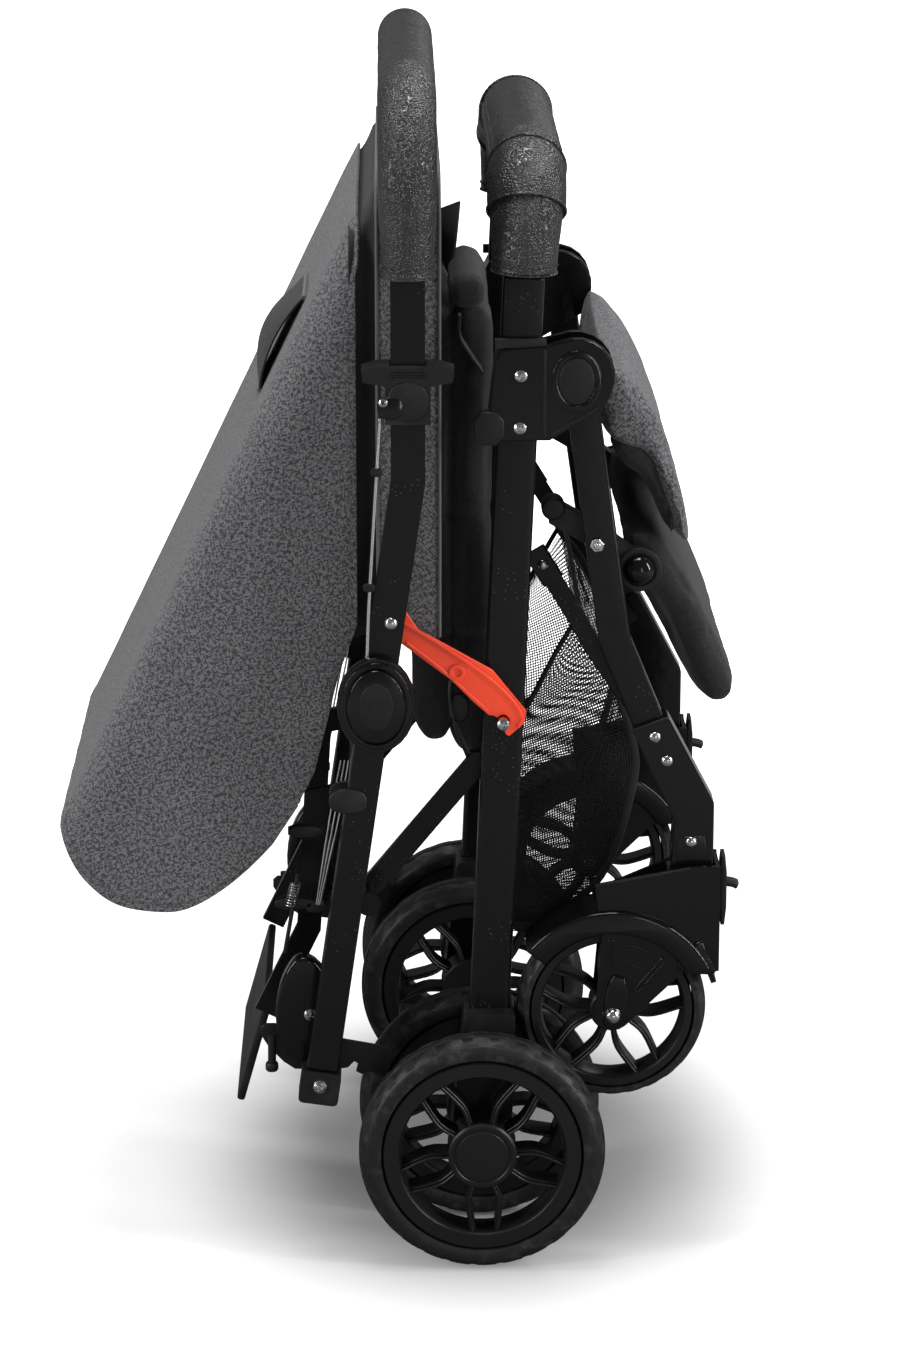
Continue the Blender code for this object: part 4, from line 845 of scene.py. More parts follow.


# Hood: a heather grey cloth, one curved sheet over its roof and sides, with a turned hem sewn round it.  In
# the fold between it and the front band, which the bow holds up, a black cloth sheet is drawn in: painted
# shade, standing for the shadow in that fold.
def cloth_look(name, dark, light, roughness, pitch=0.0009):
    look = Finish(name, dark, roughness, Specular_IOR_Level=0.2, Sheen_Weight=0.12, Sheen_Roughness=0.6)
    flat = look.place("UV")
    x, y, z = look.axes(flat)
    twill = (x + y).wave(pitch) * 0.5 + 0.5
    cross = x.wave(pitch * 0.5) * y.wave(pitch * 0.5)
    slant = look.node("CombineXYZ", X=(x + y) * 0.7071, Y=(x - y) * 0.7071)
    one_way, other_way = [look.noise(look.stretch(slant, scale), 1, 1) * 0.5
                          for scale in ((820.0, 300.0, 1.0), (300.0, 820.0, 1.0))]
    threads = one_way + other_way
    share = threads.between(0.41, 0.59) * 0.75 + look.noise(flat, 30, 4) * 0.15 + twill * 0.1
    look.put("Base Color", look.mix(share, dark, light))
    look.put("Roughness", look.noise(flat, 200) * 0.12 + (roughness - 0.06))
    look.relief(twill * 0.6 + threads * 0.5 + cross * 0.2, 0.00022)
    return look


heather = cloth_look("heather_grey_twill", (0.01, 0.01, 0.011), (0.165, 0.165, 0.174), 0.85)
black_cloth = cloth_look("black_polyester_twill", (0.006, 0.006, 0.0065), (0.018, 0.018, 0.019), 0.8, 0.0007)
webbing = cloth_look("black_webbing", (0.006, 0.006, 0.0065), (0.022, 0.022, 0.023), 0.7, 0.0016)


def lengths(points):
    """How far along the line each point is."""
    far = [0.0]
    for a, b in zip(points, points[1:]):
        far.append(far[-1] + (Vector(b) - Vector(a)).length)
    return far


def cloth_grid(name, rows, flats=None):
    """A sheet of points in rows, with its own flat size in metres as its UV map."""
    count = len(rows[0])
    faces = []
    corners = []
    for i in range(len(rows) - 1):
        for k in range(count - 1):
            faces.append((i * count + k, i * count + k + 1, (i + 1) * count + k + 1, (i + 1) * count + k))
            corners.append(((i, k), (i, k + 1), (i + 1, k + 1), (i + 1, k)))
    mesh = bpy.data.meshes.new(name)
    mesh.from_pydata([tuple(p) for row in rows for p in row], [], faces)
    layer = mesh.uv_layers.new(name="flat")
    across = lengths([row[count // 2] for row in rows])
    along = lengths(rows[len(rows) // 2])
    place_of = flats or (lambda i, k: (across[i], along[k]))
    for face, four in zip(mesh.polygons, corners):
        for loop, (i, k) in zip(face.loop_indices, four):
            layer.data[loop].uv = place_of(i, k)
    return mesh


def sheet_piece(rows, name, finish, thickness, body, flats=None):
    """The sheet of points gets its thickness and becomes a piece."""
    piece = shown(name, coloured(cloth_grid(name, rows, flats), finish))
    wall = piece.modifiers.new("thickness", "SOLIDIFY")
    wall.thickness = thickness
    wall.offset = 0.0
    settle(piece)
    with edited(piece.data) as shell:
        bmesh.ops.recalc_face_normals(shell, faces=shell.faces)
    smooth_by_angle(piece.data, 60.0)
    return carried(piece, body)


def crease(point, scale, depth):
    """Soft folds, as a height at this point."""
    return noise.noise(Vector(point) * scale) * depth


ROOF_TOP = (-0.0767, 0.798)
DOWN_ROOF = (-0.436, -0.9)
INTO_HOOD = (0.9, -0.436)
HOOD_HALF = 0.1835
HOOD_ROUND = 0.032
HOOD_SIDE = 0.149
HOOD_INSET = 0.0012
HEM_POINTS = mm(0, 522, 7.1, 534.9, 31.9, 552.7, 60.9, 560.9, 90.3, 553.6, 111.9, 539.8, 131.6, 508.4, 146.4,
                465,
                149.3, 430.8, 149.5, 410)
HEM = [tuple(p) for p in smooth_line(HEM_POINTS, 6)]
T_STEPS = 90


def read_off(table, x):
    """The value that a table of (place, value) has at x."""
    for (a, u), (b, v) in zip(table, table[1:]):
        if x <= b:
            return u + (v - u) * (x - a) / (b - a)
    return table[-1][1]


def hood_point(t, w, y):
    """The place t metres down the roof, w into the hood and y across."""
    return at(ROOF_TOP[0] + t * DOWN_ROOF[0] + w * INTO_HOOD[0], y,
              ROOF_TOP[1] + t * DOWN_ROOF[1] + w * INTO_HOOD[1])


def front_line(w):
    """How far down the roof the sheet starts, at this depth of its side."""
    return 0.028 + w / 0.484 if w < 0.1297 else 0.3175 + (w - 0.1297) * 4.67


def hood_grid_point(y, w, t, top, foot):
    side = 1 if abs(y) > HOOD_HALF - HOOD_ROUND * 0.6 else 0.35
    spot = hood_point(t, w, y)
    fold = crease((spot.x, y * 2.0, spot.z * 0.6), 9.0, 0.003) + crease(spot, 26.0, 0.001)
    drawn = math.exp(-(t - top) / 0.02) * 0.0012
    edge = 0.0007 if foot - t < 0.0085 else 0.0
    inward = Vector((0, -math.copysign(1, y), 0))
    if w <= HOOD_ROUND * 0.6:
        inward = Vector((INTO_HOOD[0], 0, INTO_HOOD[1]))
    return spot + inward * (abs(fold) * side + drawn - edge)


HOOD_LINE = [(y, -deep) for y, deep in hoop(HOOD_HALF - HOOD_INSET, -HOOD_SIDE, -HOOD_INSET,
                                            HOOD_ROUND - HOOD_INSET, 30, 12, 26)]
HOOD_SPREAD = lengths(HOOD_LINE)
HOOD_ENDS = [(front_line(max(w, 0.0)), read_off(HEM, max(w, 0.0))) for _, w in HOOD_LINE]


def hood_flat(i, k):
    top, foot = HOOD_ENDS[i]
    return HOOD_SPREAD[i], top + (foot - top) * k / T_STEPS


rows = [[hood_grid_point(y, w, top + (foot - top) * (k / T_STEPS), top, foot) for k in range(T_STEPS + 1)]
        for (y, w), (top, foot) in zip(HOOD_LINE, HOOD_ENDS)]
hood = sheet_piece(rows, "hood_sheet", heather, 0.0016, "hood", hood_flat)
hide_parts("canopy")
hood_area = sum((foot - top) * (b - a)
                for (top, foot), a, b in zip(HOOD_ENDS[1:], HOOD_SPREAD, HOOD_SPREAD[1:]))

grey_thread = Finish("grey_thread", (0.05, 0.05, 0.052), 0.6)
grey_thread.worn((900, 2, 0.3, 0.45))
STITCH_PITCH = 0.0032
STITCH_LENGTH = 0.0021


def stitch_line(name, points, out_way):
    """Stitches in a row along a line on the hood."""
    one = swept("stitch", [(0, 0, -STITCH_LENGTH / 2), (0, 0, STITCH_LENGTH / 2)], ring_section(0.00035, 6))
    places = []
    left = 0.0
    for a, b in zip(points, points[1:]):
        step = b - a
        ahead = step.normalized()
        side_way = ahead.cross(Vector(out_way)).normalized()
        while left < step.length:
            places.append((a + ahead * left, spin(side_way, ahead.cross(side_way), ahead)))
            left += STITCH_PITCH
        left -= step.length
    scatter(name, one, places, grey_thread, "hood")


for side, end in SIDES.items():
    hem_line = []
    seam_line = []
    for i in range(50):
        w = HOOD_SIDE * (1 - i / 49)
        y = side * (HOOD_HALF + 0.0006)
        if w < HOOD_ROUND:
            y -= side * HOOD_ROUND * (1 - math.cos(math.asin(1 - w / HOOD_ROUND)))
        hem_line.append(hood_point(read_off(HEM, w) - 0.0072, w, y))
        if w > HOOD_ROUND * 0.9:
            seam_line.append(hood_point(front_line(w) + 0.01, w, y))
    stitch_line("hood_hem_stitches_" + end, hem_line, (0, side, 0))
    stitch_line("hood_edge_stitches_" + end, seam_line, (0, side, 0))


def arch(x, inset, foot, top):
    """Points round the hood's front opening: up the near side, over and down the far one."""
    return [at(x, y, z) for y, z in hoop(HOOD_HALF - inset, foot, top - inset, HOOD_ROUND - inset, 40, 12,
                                         24)]


BAND_FOOT, BAND_TOP = 0.4665, 0.7975
rows = []
for i in range(25):
    share = i / 24
    bulge = 0.0015 * math.sin(math.pi * share)
    rows.append(arch(-0.0735 + 0.043 * share, 0.0022 - bulge, BAND_FOOT - 0.004 * share, BAND_TOP))
band = sheet_piece(rows, "hood_front_band", heather, 0.0016, "hood")
# Painted shade: a black cloth sheet sunk into the fold, standing for the shadow there.
rows = []
for i in range(13):
    share = i / 12
    sink = 0.012 * math.sin(math.pi * share) + 0.0045
    x = -0.0935 + 0.025 * share
    rows.append(arch(x, sink, BAND_FOOT - 0.002, min(BAND_TOP, ROOF_TOP[1] + (x - ROOF_TOP[0]) * 2.064)))
fold_shade_sheet = sheet_piece(rows, "hood_gusset", black_cloth, 0.0012, "hood")
for edge_name, x in (("back", -0.0738), ("front", -0.0302)):
    bar("hood_piping_" + edge_name, arch(x, 0.001, BAND_FOOT, BAND_TOP), ring_section(0.0013, 8), heather,
        "hood",
        "heather_cloth", side=X_WAY, degrees=60)
dress("canopy_bow", dark_steel)


# Cushions: foam boards covered in black cloth, piped round their edges, with sewn channels across them.  The
# foam fills the cover, which a cloth simulation blows up from a smaller shape.
PRESSURE = 4.0
CLOTH_FRAMES = 20


def positions(mesh, kind="co"):
    """Every point's place, or its normal, as rows of three."""
    values = np.empty(len(mesh.vertices) * 3)
    mesh.vertices.foreach_get(kind, values)
    return values.reshape(-1, 3)


def move_to(mesh, spots):
    mesh.vertices.foreach_set("co", spots.ravel())
    mesh.update()


def blown(name, mesh, voxel, cap):
    """The closed cover swells over its foam by at most cap."""
    piece = shown(name, mesh)
    grid = piece.modifiers.new("voxels", "REMESH")
    grid.mode = "VOXEL"
    grid.voxel_size = voxel
    settle(piece)
    start = positions(piece.data)
    fabric = piece.modifiers.new("cloth", "CLOTH")
    fabric.settings.use_pressure = True
    fabric.settings.uniform_pressure_force = PRESSURE
    fabric.settings.effector_weights.gravity = 0.0
    fabric.settings.quality = 4
    fabric.point_cache.frame_start = 1
    fabric.point_cache.frame_end = CLOTH_FRAMES
    for step in range(1, CLOTH_FRAMES + 1):
        bpy.context.scene.frame_set(step)
    settle(piece)
    bpy.context.scene.frame_set(1)
    moved = positions(piece.data) - start
    far = np.maximum(np.linalg.norm(moved, axis=1, keepdims=True), 1e-9)
    move_to(piece.data, start + moved * np.minimum(1.0, cap / far))
    return piece


def cushion_uv(mesh):
    """A flat map in metres, seen along the direction that each face looks in."""
    layer = mesh.uv_layers.new(name="flat")
    for face in mesh.polygons:
        way = max(range(3), key=lambda axis: abs(face.normal[axis]))
        for loop in face.loop_indices:
            co = mesh.vertices[mesh.loops[loop].vertex_index].co
            layer.data[loop].uv = [(co.y, co.z), (co.x, co.z), (co.x, co.y)][way]


def cushion(name, mesh, finish, body, nodes, cap, lines=(), depth=0.0022, width=0.004,
            voxel=0.005):
    """A blown cover, drawn in along its lines, which are given as distances from them."""
    piece = blown(name, mesh, voxel, cap)
    smooth = piece.modifiers.new("smooth", "SUBSURF")
    smooth.levels = smooth.render_levels = 1
    settle(piece)
    moves = []
    for spot in positions(piece.data):
        co = Vector(spot)
        drawn = depth * sum(math.exp(-(measure(co) / width) ** 2) for measure in lines)
        moves.append(noise.noise(co * 38) * 0.0009 + noise.noise(co * 110) * 0.0003 - drawn)
    normals = positions(piece.data, "normal")
    move_to(piece.data, positions(piece.data) + normals * np.array(moves)[:, None])
    cushion_uv(piece.data)
    for face in piece.data.polygons:
        face.use_smooth = True
    coloured(piece.data, finish)
    carried(piece, body)
    if nodes:
        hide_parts(*nodes)


def slab(name, x0, x1, half, z0, z1, edge):
    """A board with rounded edges."""
    mesh = bpy.data.meshes.new(name)
    with edited(mesh) as shell:
        bmesh.ops.create_cube(shell, size=1.0)
        bmesh.ops.scale(shell, vec=(x1 - x0, 2 * half, z1 - z0), verts=shell.verts)
        bmesh.ops.translate(shell, vec=at((x0 + x1) / 2, 0, (z0 + z1) / 2), verts=shell.verts)
        bmesh.ops.bevel(shell, geom=shell.edges, offset=edge, segments=3, affect="EDGES", profile=0.5)
    return mesh


def channels(*heights):
    return [lambda co, z=z: co.z - z for z in heights]


cushion("back_cushion", slab("back", -0.043, -0.0235, 0.13, 0.366, 0.714, 0.006), black_cloth, "handle_frame",
        ["backrest_pad"], cap=0.006, lines=channels(0.45, 0.54, 0.63))
cushion("seat_cushion", slab("seat", -0.0175, 0.003, 0.13, 0.358, 0.7, 0.006), black_cloth, "seat",
        ["seat_pad"],
        cap=0.006, lines=channels(0.45, 0.54))
leg_pad = mm(107.5, 533, 117.5, 533, 131, 516, 156, 476, 183.5, 413.5, 183, 405, 173.5, 400, 165, 404, 134,
             466,
             116, 500, 104, 526)
cushion("leg_rest_cushion", plate("leg_rest", round_off(leg_pad, 1), 0.0, 0.284, 0.004), black_cloth,
        "leg_rest",
        ["leg_rest_pad"], cap=0.005)
apron = mm(81.5, 659, 103, 647.5, 124.5, 611, 139, 569, 149, 524, 145.5, 517, 141.5, 525, 135, 560, 124, 595,
           103, 599, 88, 611)
cushion("front_apron", plate("apron", round_off(apron, 1), 0.0, 0.304, 0.003), heather, "front_frame",
        ["seat_apron"], cap=0.004, lines=[lambda co: abs(co.y) - 0.146],
        depth=0.0012, width=0.0022)
lining = mm(88, 606, 118, 597.5, 134, 560, 142.5, 526, 138.5, 522, 131, 548, 119, 572, 103, 583)
cushion("apron_lining", plate("lining", round_off(lining, 1), 0.0, 0.292, 0.003), black_cloth, "front_frame",
        [],
        cap=0.003)


# Brackets: the moulded halves that clamp a rear leg and hold its hub.  Each has a snap-in oval cap, a rib
# beside the leg and a catch block on its rear edge.
def oval(x, z, width, height, steps):
    return mm(*[value for a, b in circle(steps) for value in (x + width / 2 * a, z + height / 2 * b)])


def stripe(x0, z0, x1, z1, width):
    """A bar's outline from one point to another, with round ends."""
    lean = math.degrees(math.atan2(z1 - z0, x1 - x0))
    ends = []
    for x, z, first in ((x1, z1, -90), (x0, z0, 90)):
        for i in range(7):
            a = math.radians(lean + first + 30 * i)
            ends += [x + width / 2 * math.cos(a), z + width / 2 * math.sin(a)]
    return mm(*ends)


def block(x0, z0, x1, z1, passes=0):
    return round_off(mm(x0, z0, x1, z0, x1, z1, x0, z1), passes)


def moulded(side, body, *rows, slot=None):
    """Plates, each given as name, finish, how far out its face is, thickness, rounding, outline and holes."""
    for name, finish, y, thickness, edge, outline, *holes in rows:
        mesh = plate(name, outline, side * (y - thickness / 2) / 1000, thickness / 1000, edge / 1000, holes)
        finished(mesh, name.replace("*", SIDES[side]), finish, body)


for side in SIDES:
    moulded(side, "rear_frame",
            ("bracket_ring_*", gloss, 193.4, 2, 0.5, oval(65.8, 654.1, 35, 44, 44),
             oval(65.8, 654.1, 26.2, 35, 44)),
            ("bracket_cap_*", matt, 193.2, 2.2, 0.9, oval(65.8, 654.1, 25, 33.8, 44)),
            ("bracket_rib_*", matt, 193.2, 1.8, 0.5, stripe(43.5, 615, 43.5, 676, 1.8)),
            ("bracket_lip_*", matt, 193, 1.6, 0.4, stripe(49, 616.5, 80, 634.5, 1.6)),
            ("bracket_catch_*", matt, 194.5, 12, 1, block(-6.1, 608.7, 15, 632.5, 1)),
            ("bracket_collar_*", matt, 190, 4, 0.8, block(8.5, 677, 44.5, 684)))


# Oval hubs and release collars: glossy caps on the handle's pivots, and the sliding pulls above them that
# free the lower tubes, each with a lug for its rod.
for side, end in SIDES.items():
    moulded(side, "handle_frame",
            ("hub_ring_*", gloss, 224.5, 3, 0.8, oval(-75.5, 427, 50, 64, 56),
             oval(-75.5, 427, 42.5, 56, 56)),
            ("hub_cap_*", gloss, 226.2, 4, 1.4, oval(-75.5, 427, 40.5, 53.5, 56)),
            ("hub_eye_*", matt, 226.8, 2, 0.6, oval(-75.5, 427, 24, 35, 40)),
            ("rod_clip_*_595", matt, 218.5, 4, 0.6, block(-78.6, 592, -70.2, 598, 1)),
            ("rod_clip_*_512", matt, 218.5, 4, 0.6, block(-84.41, 509, -76.01, 515, 1)))
    dress("release_collar_" + end, matt)
    moulded(side, "release_collar_" + end,
            ("collar_face_*", matt, 219.6, 3, 0.9, block(-66.5, 632, -38.5, 659, 2)),
            ("collar_lug_*", gloss, 220, 5, 0.9, block(-73.9, 633.1, -55.9, 648.8, 2)),
            *[(f"collar_grip_*_{row}", matt, 219.2, 1.8, 0.3, stripe(-64, z, -41, z, 0.8))
              for row, z in enumerate((662, 663.8, 665.6, 667.4))])
    rod = route(side, -71.9, 215, 633, -75, 216.5, 585, -77.9, 216, 538.7, -80.5, 216.5, 495, -81.8, 216, 460)
    bar("release_rod_" + end, smooth_line(rod, 6), ring_section(0.0012, 10), zinc, "handle_frame", "chrome",
        side=X_WAY)


# Fold lock: one orange nylon hook on the near side, sprung over the stud.  It is a ribbed moulding with a
# boss at its pivot and a flange round its tip.
orange = Finish("orange_nylon", (0.86, 0.055, 0.012), 0.33, Specular_IOR_Level=0.5)
spot = orange.worn((150, 3, 0.25, 0.24), (1500, 1, 0.00006))
orange.put("Base Color", orange.mix(orange.noise(spot, 60, 4), (0.8, 0.045, 0.01), (0.92, 0.07, 0.016)))
dress("fold_lock_hook", orange)
moulded(-1, "fold_lock",
        ("lock_boss", orange, 191.2, 3, 0.6, oval(-64.8, 485.7, 15, 15, 28)),
        ("lock_middle_boss", orange, 190, 2, 0.5, oval(-17.9, 441.9, 12, 12, 28),
         oval(-17.9, 441.9, 6, 6, 20)),
        slot="orange_plastic")
outer_rib = route(-1, -56, 189, 479, -30, 189, 462.5, 2, 189, 440, 21, 189, 422, 29, 189, 408, 26, 189, 401)
inner_rib = route(-1, -54, 189, 464, -30, 189, 445, -8, 189, 424.5, 4, 189, 413)
for name, line, width in (("lock_outer_rib", outer_rib, 0.002), ("lock_inner_rib", inner_rib, 0.0016)):
    bar(name, smooth_line(line, 6), bar_section(width, 0.0022, 0.0004), orange, "fold_lock", "orange_plastic")


# Basket: black mesh fabric sewn into a bag, bound with tape round its mouth and its sides, and held open by a
# coated wire loop.
net = Finish("black_mesh_fabric", (0.01, 0.01, 0.01), 0.65, Specular_IOR_Level=0.3)
NET_PITCH = 0.0042
NET_HOLE = 0.12
flat = net.place("UV")
x, y, z = net.axes(flat)
weave = (x + y).wave(NET_PITCH) * (x - y).wave(NET_PITCH)
net.put("Alpha", 1.0 - (weave > NET_HOLE))
net.put("Base Color", net.mix(net.noise(flat, 300), (0.006, 0.006, 0.006), (0.018, 0.018, 0.018)))
net.relief(weave * 0.5 + 0.5, 0.0003)
BASKET_FRONT = smooth_line(mm(68.8, 464.4, 87.5, 438, 110, 380, 112, 340, 89, 270, 42, 231), 8)
BASKET_REAR = smooth_line(mm(35.2, 404, 18, 390, 16.8, 350, 16.8, 300, 16.8, 260, 20, 232), 8)
BASKET_INSIDE = 0.136


def basket_side(side):
    rows = []
    count = len(BASKET_FRONT)
    for i in range(count):
        row = []
        for k in range(31):
            share = k / 30
            flat_spot = BASKET_REAR[i].lerp(BASKET_FRONT[i], share)
            belly = math.sin(math.pi * share) * math.sin(math.pi * min(1.0, i / count + 0.1))
            spot = at(flat_spot.x, side * (BASKET_INSIDE + 0.004 * belly), flat_spot.y)
            row.append(spot + Vector((0, side * crease((spot.x, side, spot.z), 30.0, 0.002), 0)))
        rows.append(row)
    return rows


def border(rows):
    """The points round three sides of a sheet: down its first column, along its last row and back up."""
    return [row[0] for row in rows] + rows[-1][1:] + [row[-1] for row in rows[-2::-1]]


for side, end in SIDES.items():
    rows = basket_side(side)
    panel = sheet_piece(rows, "basket_side_" + end, net, 0.0006, "rear_frame")
    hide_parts("basket")
    bar("basket_binding_" + end, border(rows), bar_section(0.0016, 0.0055, 0.0005), webbing, "rear_frame",
        "black_cloth", degrees=60)
wall_line = BASKET_FRONT + [BASKET_FRONT[-1].lerp(BASKET_REAR[-1], 0.5)] + BASKET_REAR[::-1]
rows = []
for i in range(41):
    share = i / 40
    y = -BASKET_INSIDE + 2 * BASKET_INSIDE * share
    sag = 0.004 * math.sin(math.pi * share)
    row = []
    for point in wall_line:
        spot = at(point.x, y, point.y)
        row.append(spot + Vector((crease((spot.x, y, spot.z), 18.0, 0.002), 0, sag - 0.004)))
    rows.append(row)
wall = sheet_piece(rows, "basket_wall", net, 0.0006, "rear_frame")
loop_wire = route(1, 35.2, -140, 404, 52, -141, 438, 68.3, -141, 467.1, 72, -130, 470, 72.5, 0, 469, 72, 130,
                  470,
                  68.3, 141, 467.1, 52, 141, 438, 35.2, 140, 404)
bar("basket_wire_loop", smooth_line(loop_wire, 8), ring_section(0.0019, 12), dark_steel, "rear_frame",
    "dark_steel", side=(0, 0.2, 1), degrees=60)


# Casters: a glossy fork with a deep fender round the tyre and embossed ribs on its cheeks.  A cap nut holds
# the axle, and a sprung block with a lever at the front locks the swivel.
def wheel_arc(radius, start, end, steps=26):
    turns = [math.radians(start + (end - start) * i / steps) for i in range(steps + 1)]
    return mm(*[value for a in turns for value in (95.5 + radius * math.cos(a), 184 + radius * math.sin(a))])


fender = wheel_arc(79.5, 24, 142) + wheel_arc(62.5, 142, 30)
tip = mm(139.5, 220.5, 153, 215, 169, 214.5, 171, 218, 164, 230, 160, 242, 150, 235)
pillar = mm(87.5, 178, 92.5, 173.5, 98.5, 173.5, 104, 178, 107.5, 212, 92.5, 215.5)
upright, slanted = (94.1, 240, 94.1, 221.5), (132.4, 225.7, 113.2, 202.8)
for side, end in SIDES.items():
    moulded(side, "caster_" + end, ("fender_outer_*", gloss, 199, 7, 2.4, fender),
            ("fender_inner_*", gloss, 156, 5, 2, fender), slot="gloss_plastic")
    moulded(side, "caster_" + end,
            ("fender_tip_*", gloss, 197.5, 5, 1.6, round_off(tip, 1)),
            ("cheek_upright_rib_*", gloss, 196, 1.6, 0.4, stripe(*upright, 4.2), stripe(*upright, 2.2)),
            ("cheek_slanted_rib_*", gloss, 196, 1.6, 0.4, stripe(*slanted, 4.4), stripe(*slanted, 2.4)),
            ("cheek_outer_arc_*", gloss, 195.8, 1.4, 0.3, wheel_arc(54.7, 84, 56, 12)
             + wheel_arc(53.3, 56, 84, 12)),
            ("cheek_inner_arc_*", gloss, 195.8, 1.4, 0.3, wheel_arc(40.7, 73, 57, 12)
             + wheel_arc(39.3, 57, 73, 12)),
            ("cheek_pillar_*", gloss, 198.5, 4.5, 1.4, round_off(pillar, 1)),
            ("skirt_rim_*", matt, 196.2, 1.8, 0.5, stripe(83.5, 283.2, 150, 295.5, 2.2)),
            ("swivel_lock_*", matt, 183, 18, 1.2, block(173.1, 248, 178.4, 301, 1)))
    lever = smooth_line(route(side, 177, 174, 279, 183, 174, 278, 186.5, 174, 276.5), 4)
    bar("swivel_lever_" + end, lever, bar_section(0.012, 0.0048, 0.0014), matt, "caster_" + end)
    moulded(side, "front_frame",
            ("shoe_panel_*", gloss, 188, 2, 0.6, mm(141, 317, 161.5, 318, 163.5, 296, 141, 296)),
            ("shoe_seam_*", gloss, 187.8, 1.4, 0.4, stripe(140, 292.5, 166, 292.5, 1.4)),
            ("shoe_lip_*", matt, 188.2, 2.2, 0.6, stripe(108.5, 397.5, 132.5, 406.5, 2.2)))


# Leg rest hinges and braces: round click hinges inside the front legs, each with a ball cap, and flat
# braces in plastic sleeves that run down to the shoes.
BALL = lathed("ball", mm(0, 0, 11, 0, 10.8, -3, 9.2, -6.2, 6, -8.4, 2.5, -9.3, 0, -9.4), 30)
for side, end in SIDES.items():
    moulded(side, "front_frame",
            ("hinge_ring_*", matt, 166.8, 3, 0.8, oval(112.9, 511.1, 32, 32, 36),
             oval(112.9, 511.1, 23.6, 23.6, 32)),
            ("arm_cap_*", matt, 166.8, 18, 2, oval(51, 556, 17, 17, 28)))
    scatter("hinge_ball_" + end, BALL, facing_out(side, 112.9, 165.5, 511.1), gloss, "front_frame")
    brace = route(side, 38.4, 148, 520.8, 62, 148, 483, 85.7, 148, 442.6, 106, 148, 413, 126.1, 148, 386)
    bar("flat_brace_" + end, smooth_line(brace, 6), bar_section(0.0028, 0.0135, 0.0006), paint, "front_frame",
        "black_paint")
    sleeve = route(side, 38, 148, 521.5, 44, 148, 511.8, 52, 148, 498.8)
    bar("brace_sleeve_" + end, sleeve, bar_section(0.005, 0.0165, 0.0012), matt, "front_frame",
        "black_plastic")
    scatter("brace_rivets_" + end, RIVET, facing_out(side, 44.5, 150.5, 511, 121.5, 149.5, 392.5), zinc,
            "front_frame", 0.9)


# Lower ends of the handle: half-moon covers with their screws, the wires that run down to the hook plates
# with a spring and a rod on each side, clips, and a guide clamp.
COIL_STEPS = 14


def coil(start, end, radius, turns, wire):
    ahead = (end - start).normalized()
    up = ahead.cross(Y_WAY)
    steps = turns * COIL_STEPS
    line = [start.lerp(end, i / steps) + spoke(Y_WAY, up, 2 * math.pi * i / COIL_STEPS) * radius
            for i in range(steps + 1)]
    return swept("spring", line, ring_section(wire, 8), ahead, None, 60.0)


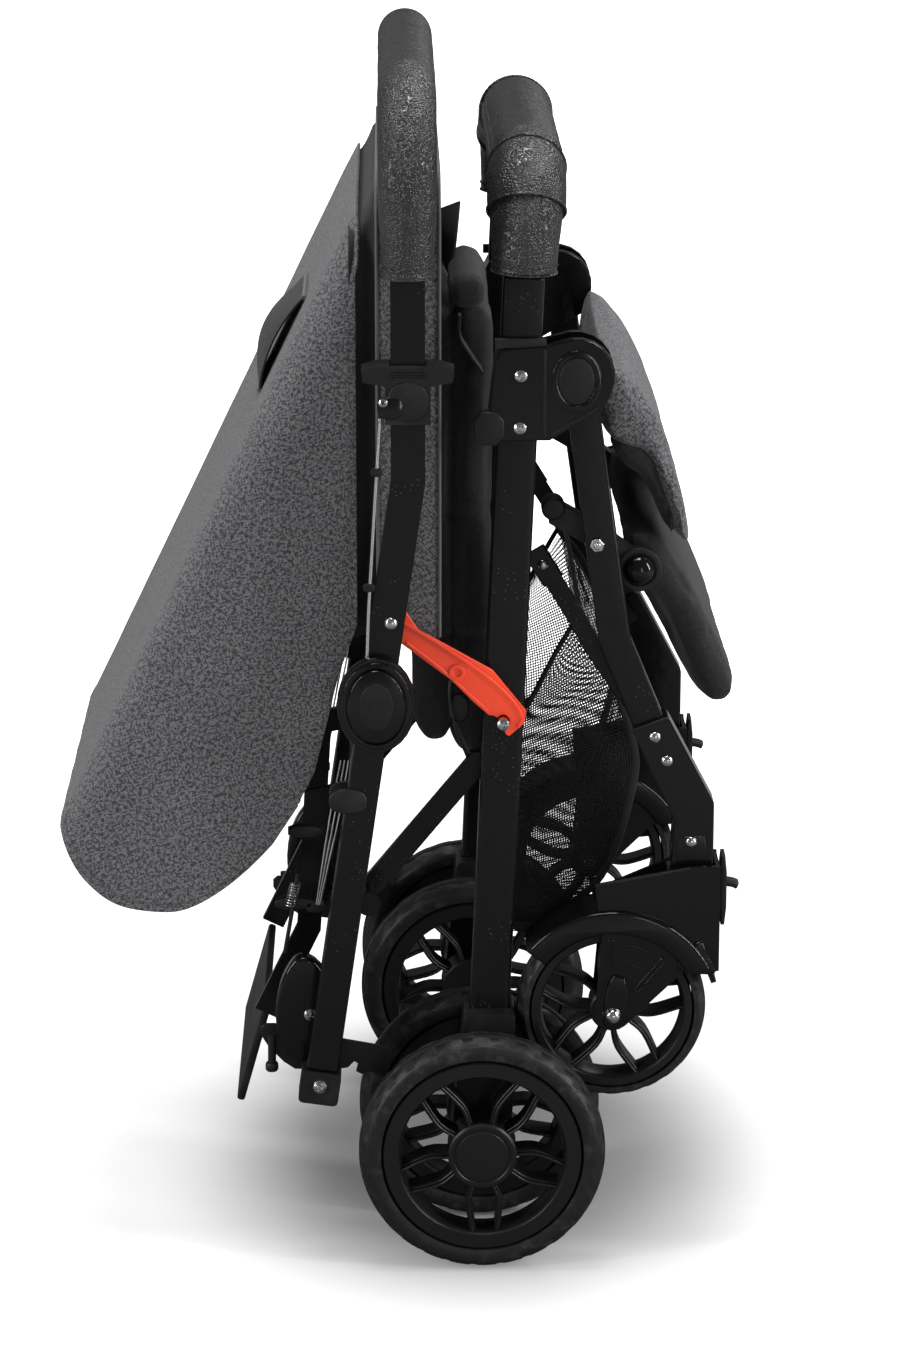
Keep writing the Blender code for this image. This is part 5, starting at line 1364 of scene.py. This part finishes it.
cover = mm(-114.2, 217.9, -132.4, 228.8, -145, 212, -151.1, 186.9, -149, 162, -138.5, 143, -120, 134.1, -115,
           160,
           -112, 190)
end_bracket = mm(-161.7, 156, -161.7, 168.1, -148, 168.1, -127.4, 156, -127.4, 132.5, -140, 132.5)
clamp = block(-109.6, 345, -82.5, 363, 2)
for side, end in SIDES.items():
    body = "handle_frame"
    moulded(side, body,
            ("half_moon_*", gloss, 187, 15, 2.6, round_off(cover, 2)),
            ("end_bracket_*", dark_steel, 170, 3, 0.6, round_off(end_bracket, 1)),
            ("wire_clip_*_0", matt, 175, 8, 1, block(-140.2, 313.6, -115.2, 322.6, 1)),
            ("wire_clip_*_1", matt, 175, 8, 1, block(-127.6, 256, -114.6, 265, 1)),
            ("wire_clip_*_2", matt, 175, 8, 1, block(-150.2, 258.4, -123.2, 267.4, 1)),
            ("guide_clamp_*", matt, 216.5, 4, 1, clamp),
            ("guide_clamp_inside_*", matt, 195.5, 3, 0.8, clamp))
    scatter("half_moon_screw_" + end, SCREW, facing_out(side, -125.3, 187.2, 181.9), zinc, body)
    bumper = route(side, -153.2, 185, 166, -153.3, 185, 152, -153.5, 185, 138.6)
    bar("bumper_rod_" + end, bumper, ring_section(0.003, 16), dark_steel, body)
    foot = route(side, -153.5, 185, 144, -153.5, 185, 142.5, -153.5, 185, 139, -153.5, 185, 137.5)
    bar("bumper_foot_" + end, foot, ring_section(0.0048, 18), foam, body, sizes=[0.85, 1.0, 1.0, 0.8])
    spring = coil(*route(side, -134.8, 176, 279.8, -139.3, 176, 262), 0.0036, 9, 0.00055)
    finished(spring, "return_spring_" + end, zinc, body)
    pull = route(side, -133, 176, 287, -137.2, 176, 260.6, -143.4, 176, 225.8)
    bar("spring_rod_" + end, pull, ring_section(0.0016, 10), dark_steel, body)
    for k in range(3):
        off = 2.8 * (k - 1)
        wire = route(side, -98.2 + off, 190.5, 377.3, -105 + off * 1.2, 192.5, 340, -112 + off * 0.8, 191.5,
                     303,
                     -118.5 + off * 0.4, 189, 267.4)
        bar(f"release_wire_{end}_{k}", smooth_line(wire, 6), ring_section(0.0008, 8), zinc, body, "chrome")


# Hood and seat trimmings: the hood's rear window flap, loose webbing straps with their buckles, and the end
# of the harness that shows between the two bars.
def strap(name, width, *values):
    mesh = swept(name, smooth_line(route(1, *values), 8), bar_section(width, 0.0018, 0.00063), degrees=50.0)
    cushion_uv(mesh)
    finished(mesh, name, webbing, "handle_frame")


rows = []
for i in range(21):
    row = []
    for k in range(17):
        away = math.sin(math.pi * k / 16) ** 0.8 * math.sin(math.pi * (0.08 + 0.84 * i / 20)) ** 0.6
        row.append(hood_point(0.112 + 0.075 * k / 16, -0.0006 - 0.015 * away, -0.105 + 0.09 * i / 20))
    rows.append(row)
flap = sheet_piece(rows, "hood_window_flap", black_cloth, 0.0014, "hood")
bar("hood_flap_trim", border(rows), ring_section(0.0016, 10), heather, "hood", "heather_cloth",
    side=(0, 0, 1),
    degrees=60)
rows = []
for i in range(13):
    share = i / 12
    low = Vector((-0.0201, 0, 0.6881)).lerp(Vector((-0.027, 0, 0.69)), share)
    high = Vector((-0.0134, 0, 0.7538)).lerp(Vector((-0.0297, 0, 0.739)), share)
    across = -0.03 + 0.05 * share
    rows.append([at(0, across + 0.004 * math.sin(k * 0.5), 0) + low.lerp(high, k / 14) for k in range(15)])
point = sheet_piece(rows, "seat_top_flap", black_cloth, 0.0016, "handle_frame")
strap("harness_strap_near", 0.022, -15.1, -130, 690, -15, -131, 675.5, -8, -133, 663, 0.3, -131, 650.1)
strap("buckle_strap_near", 0.02, -22.3, -150, 423, -22.3, -151, 410.1, -17, -152, 388, -7.7, -151, 364.5)
puff = slab("puff", -0.0225, 0.003, 0.045, 0.6925, 0.718, 0.008)
puff.transform(Matrix.Translation((0, -0.085, 0)))
cushion("shoulder_puff", puff, black_cloth, "handle_frame", [], cap=0.004,
        voxel=0.004)
buckle = plate("buckle", block(-23, 396, -8.5, 416, 2), -0.1555, 0.007, 0.0015)
finished(buckle, "strap_buckle", matt, "handle_frame")
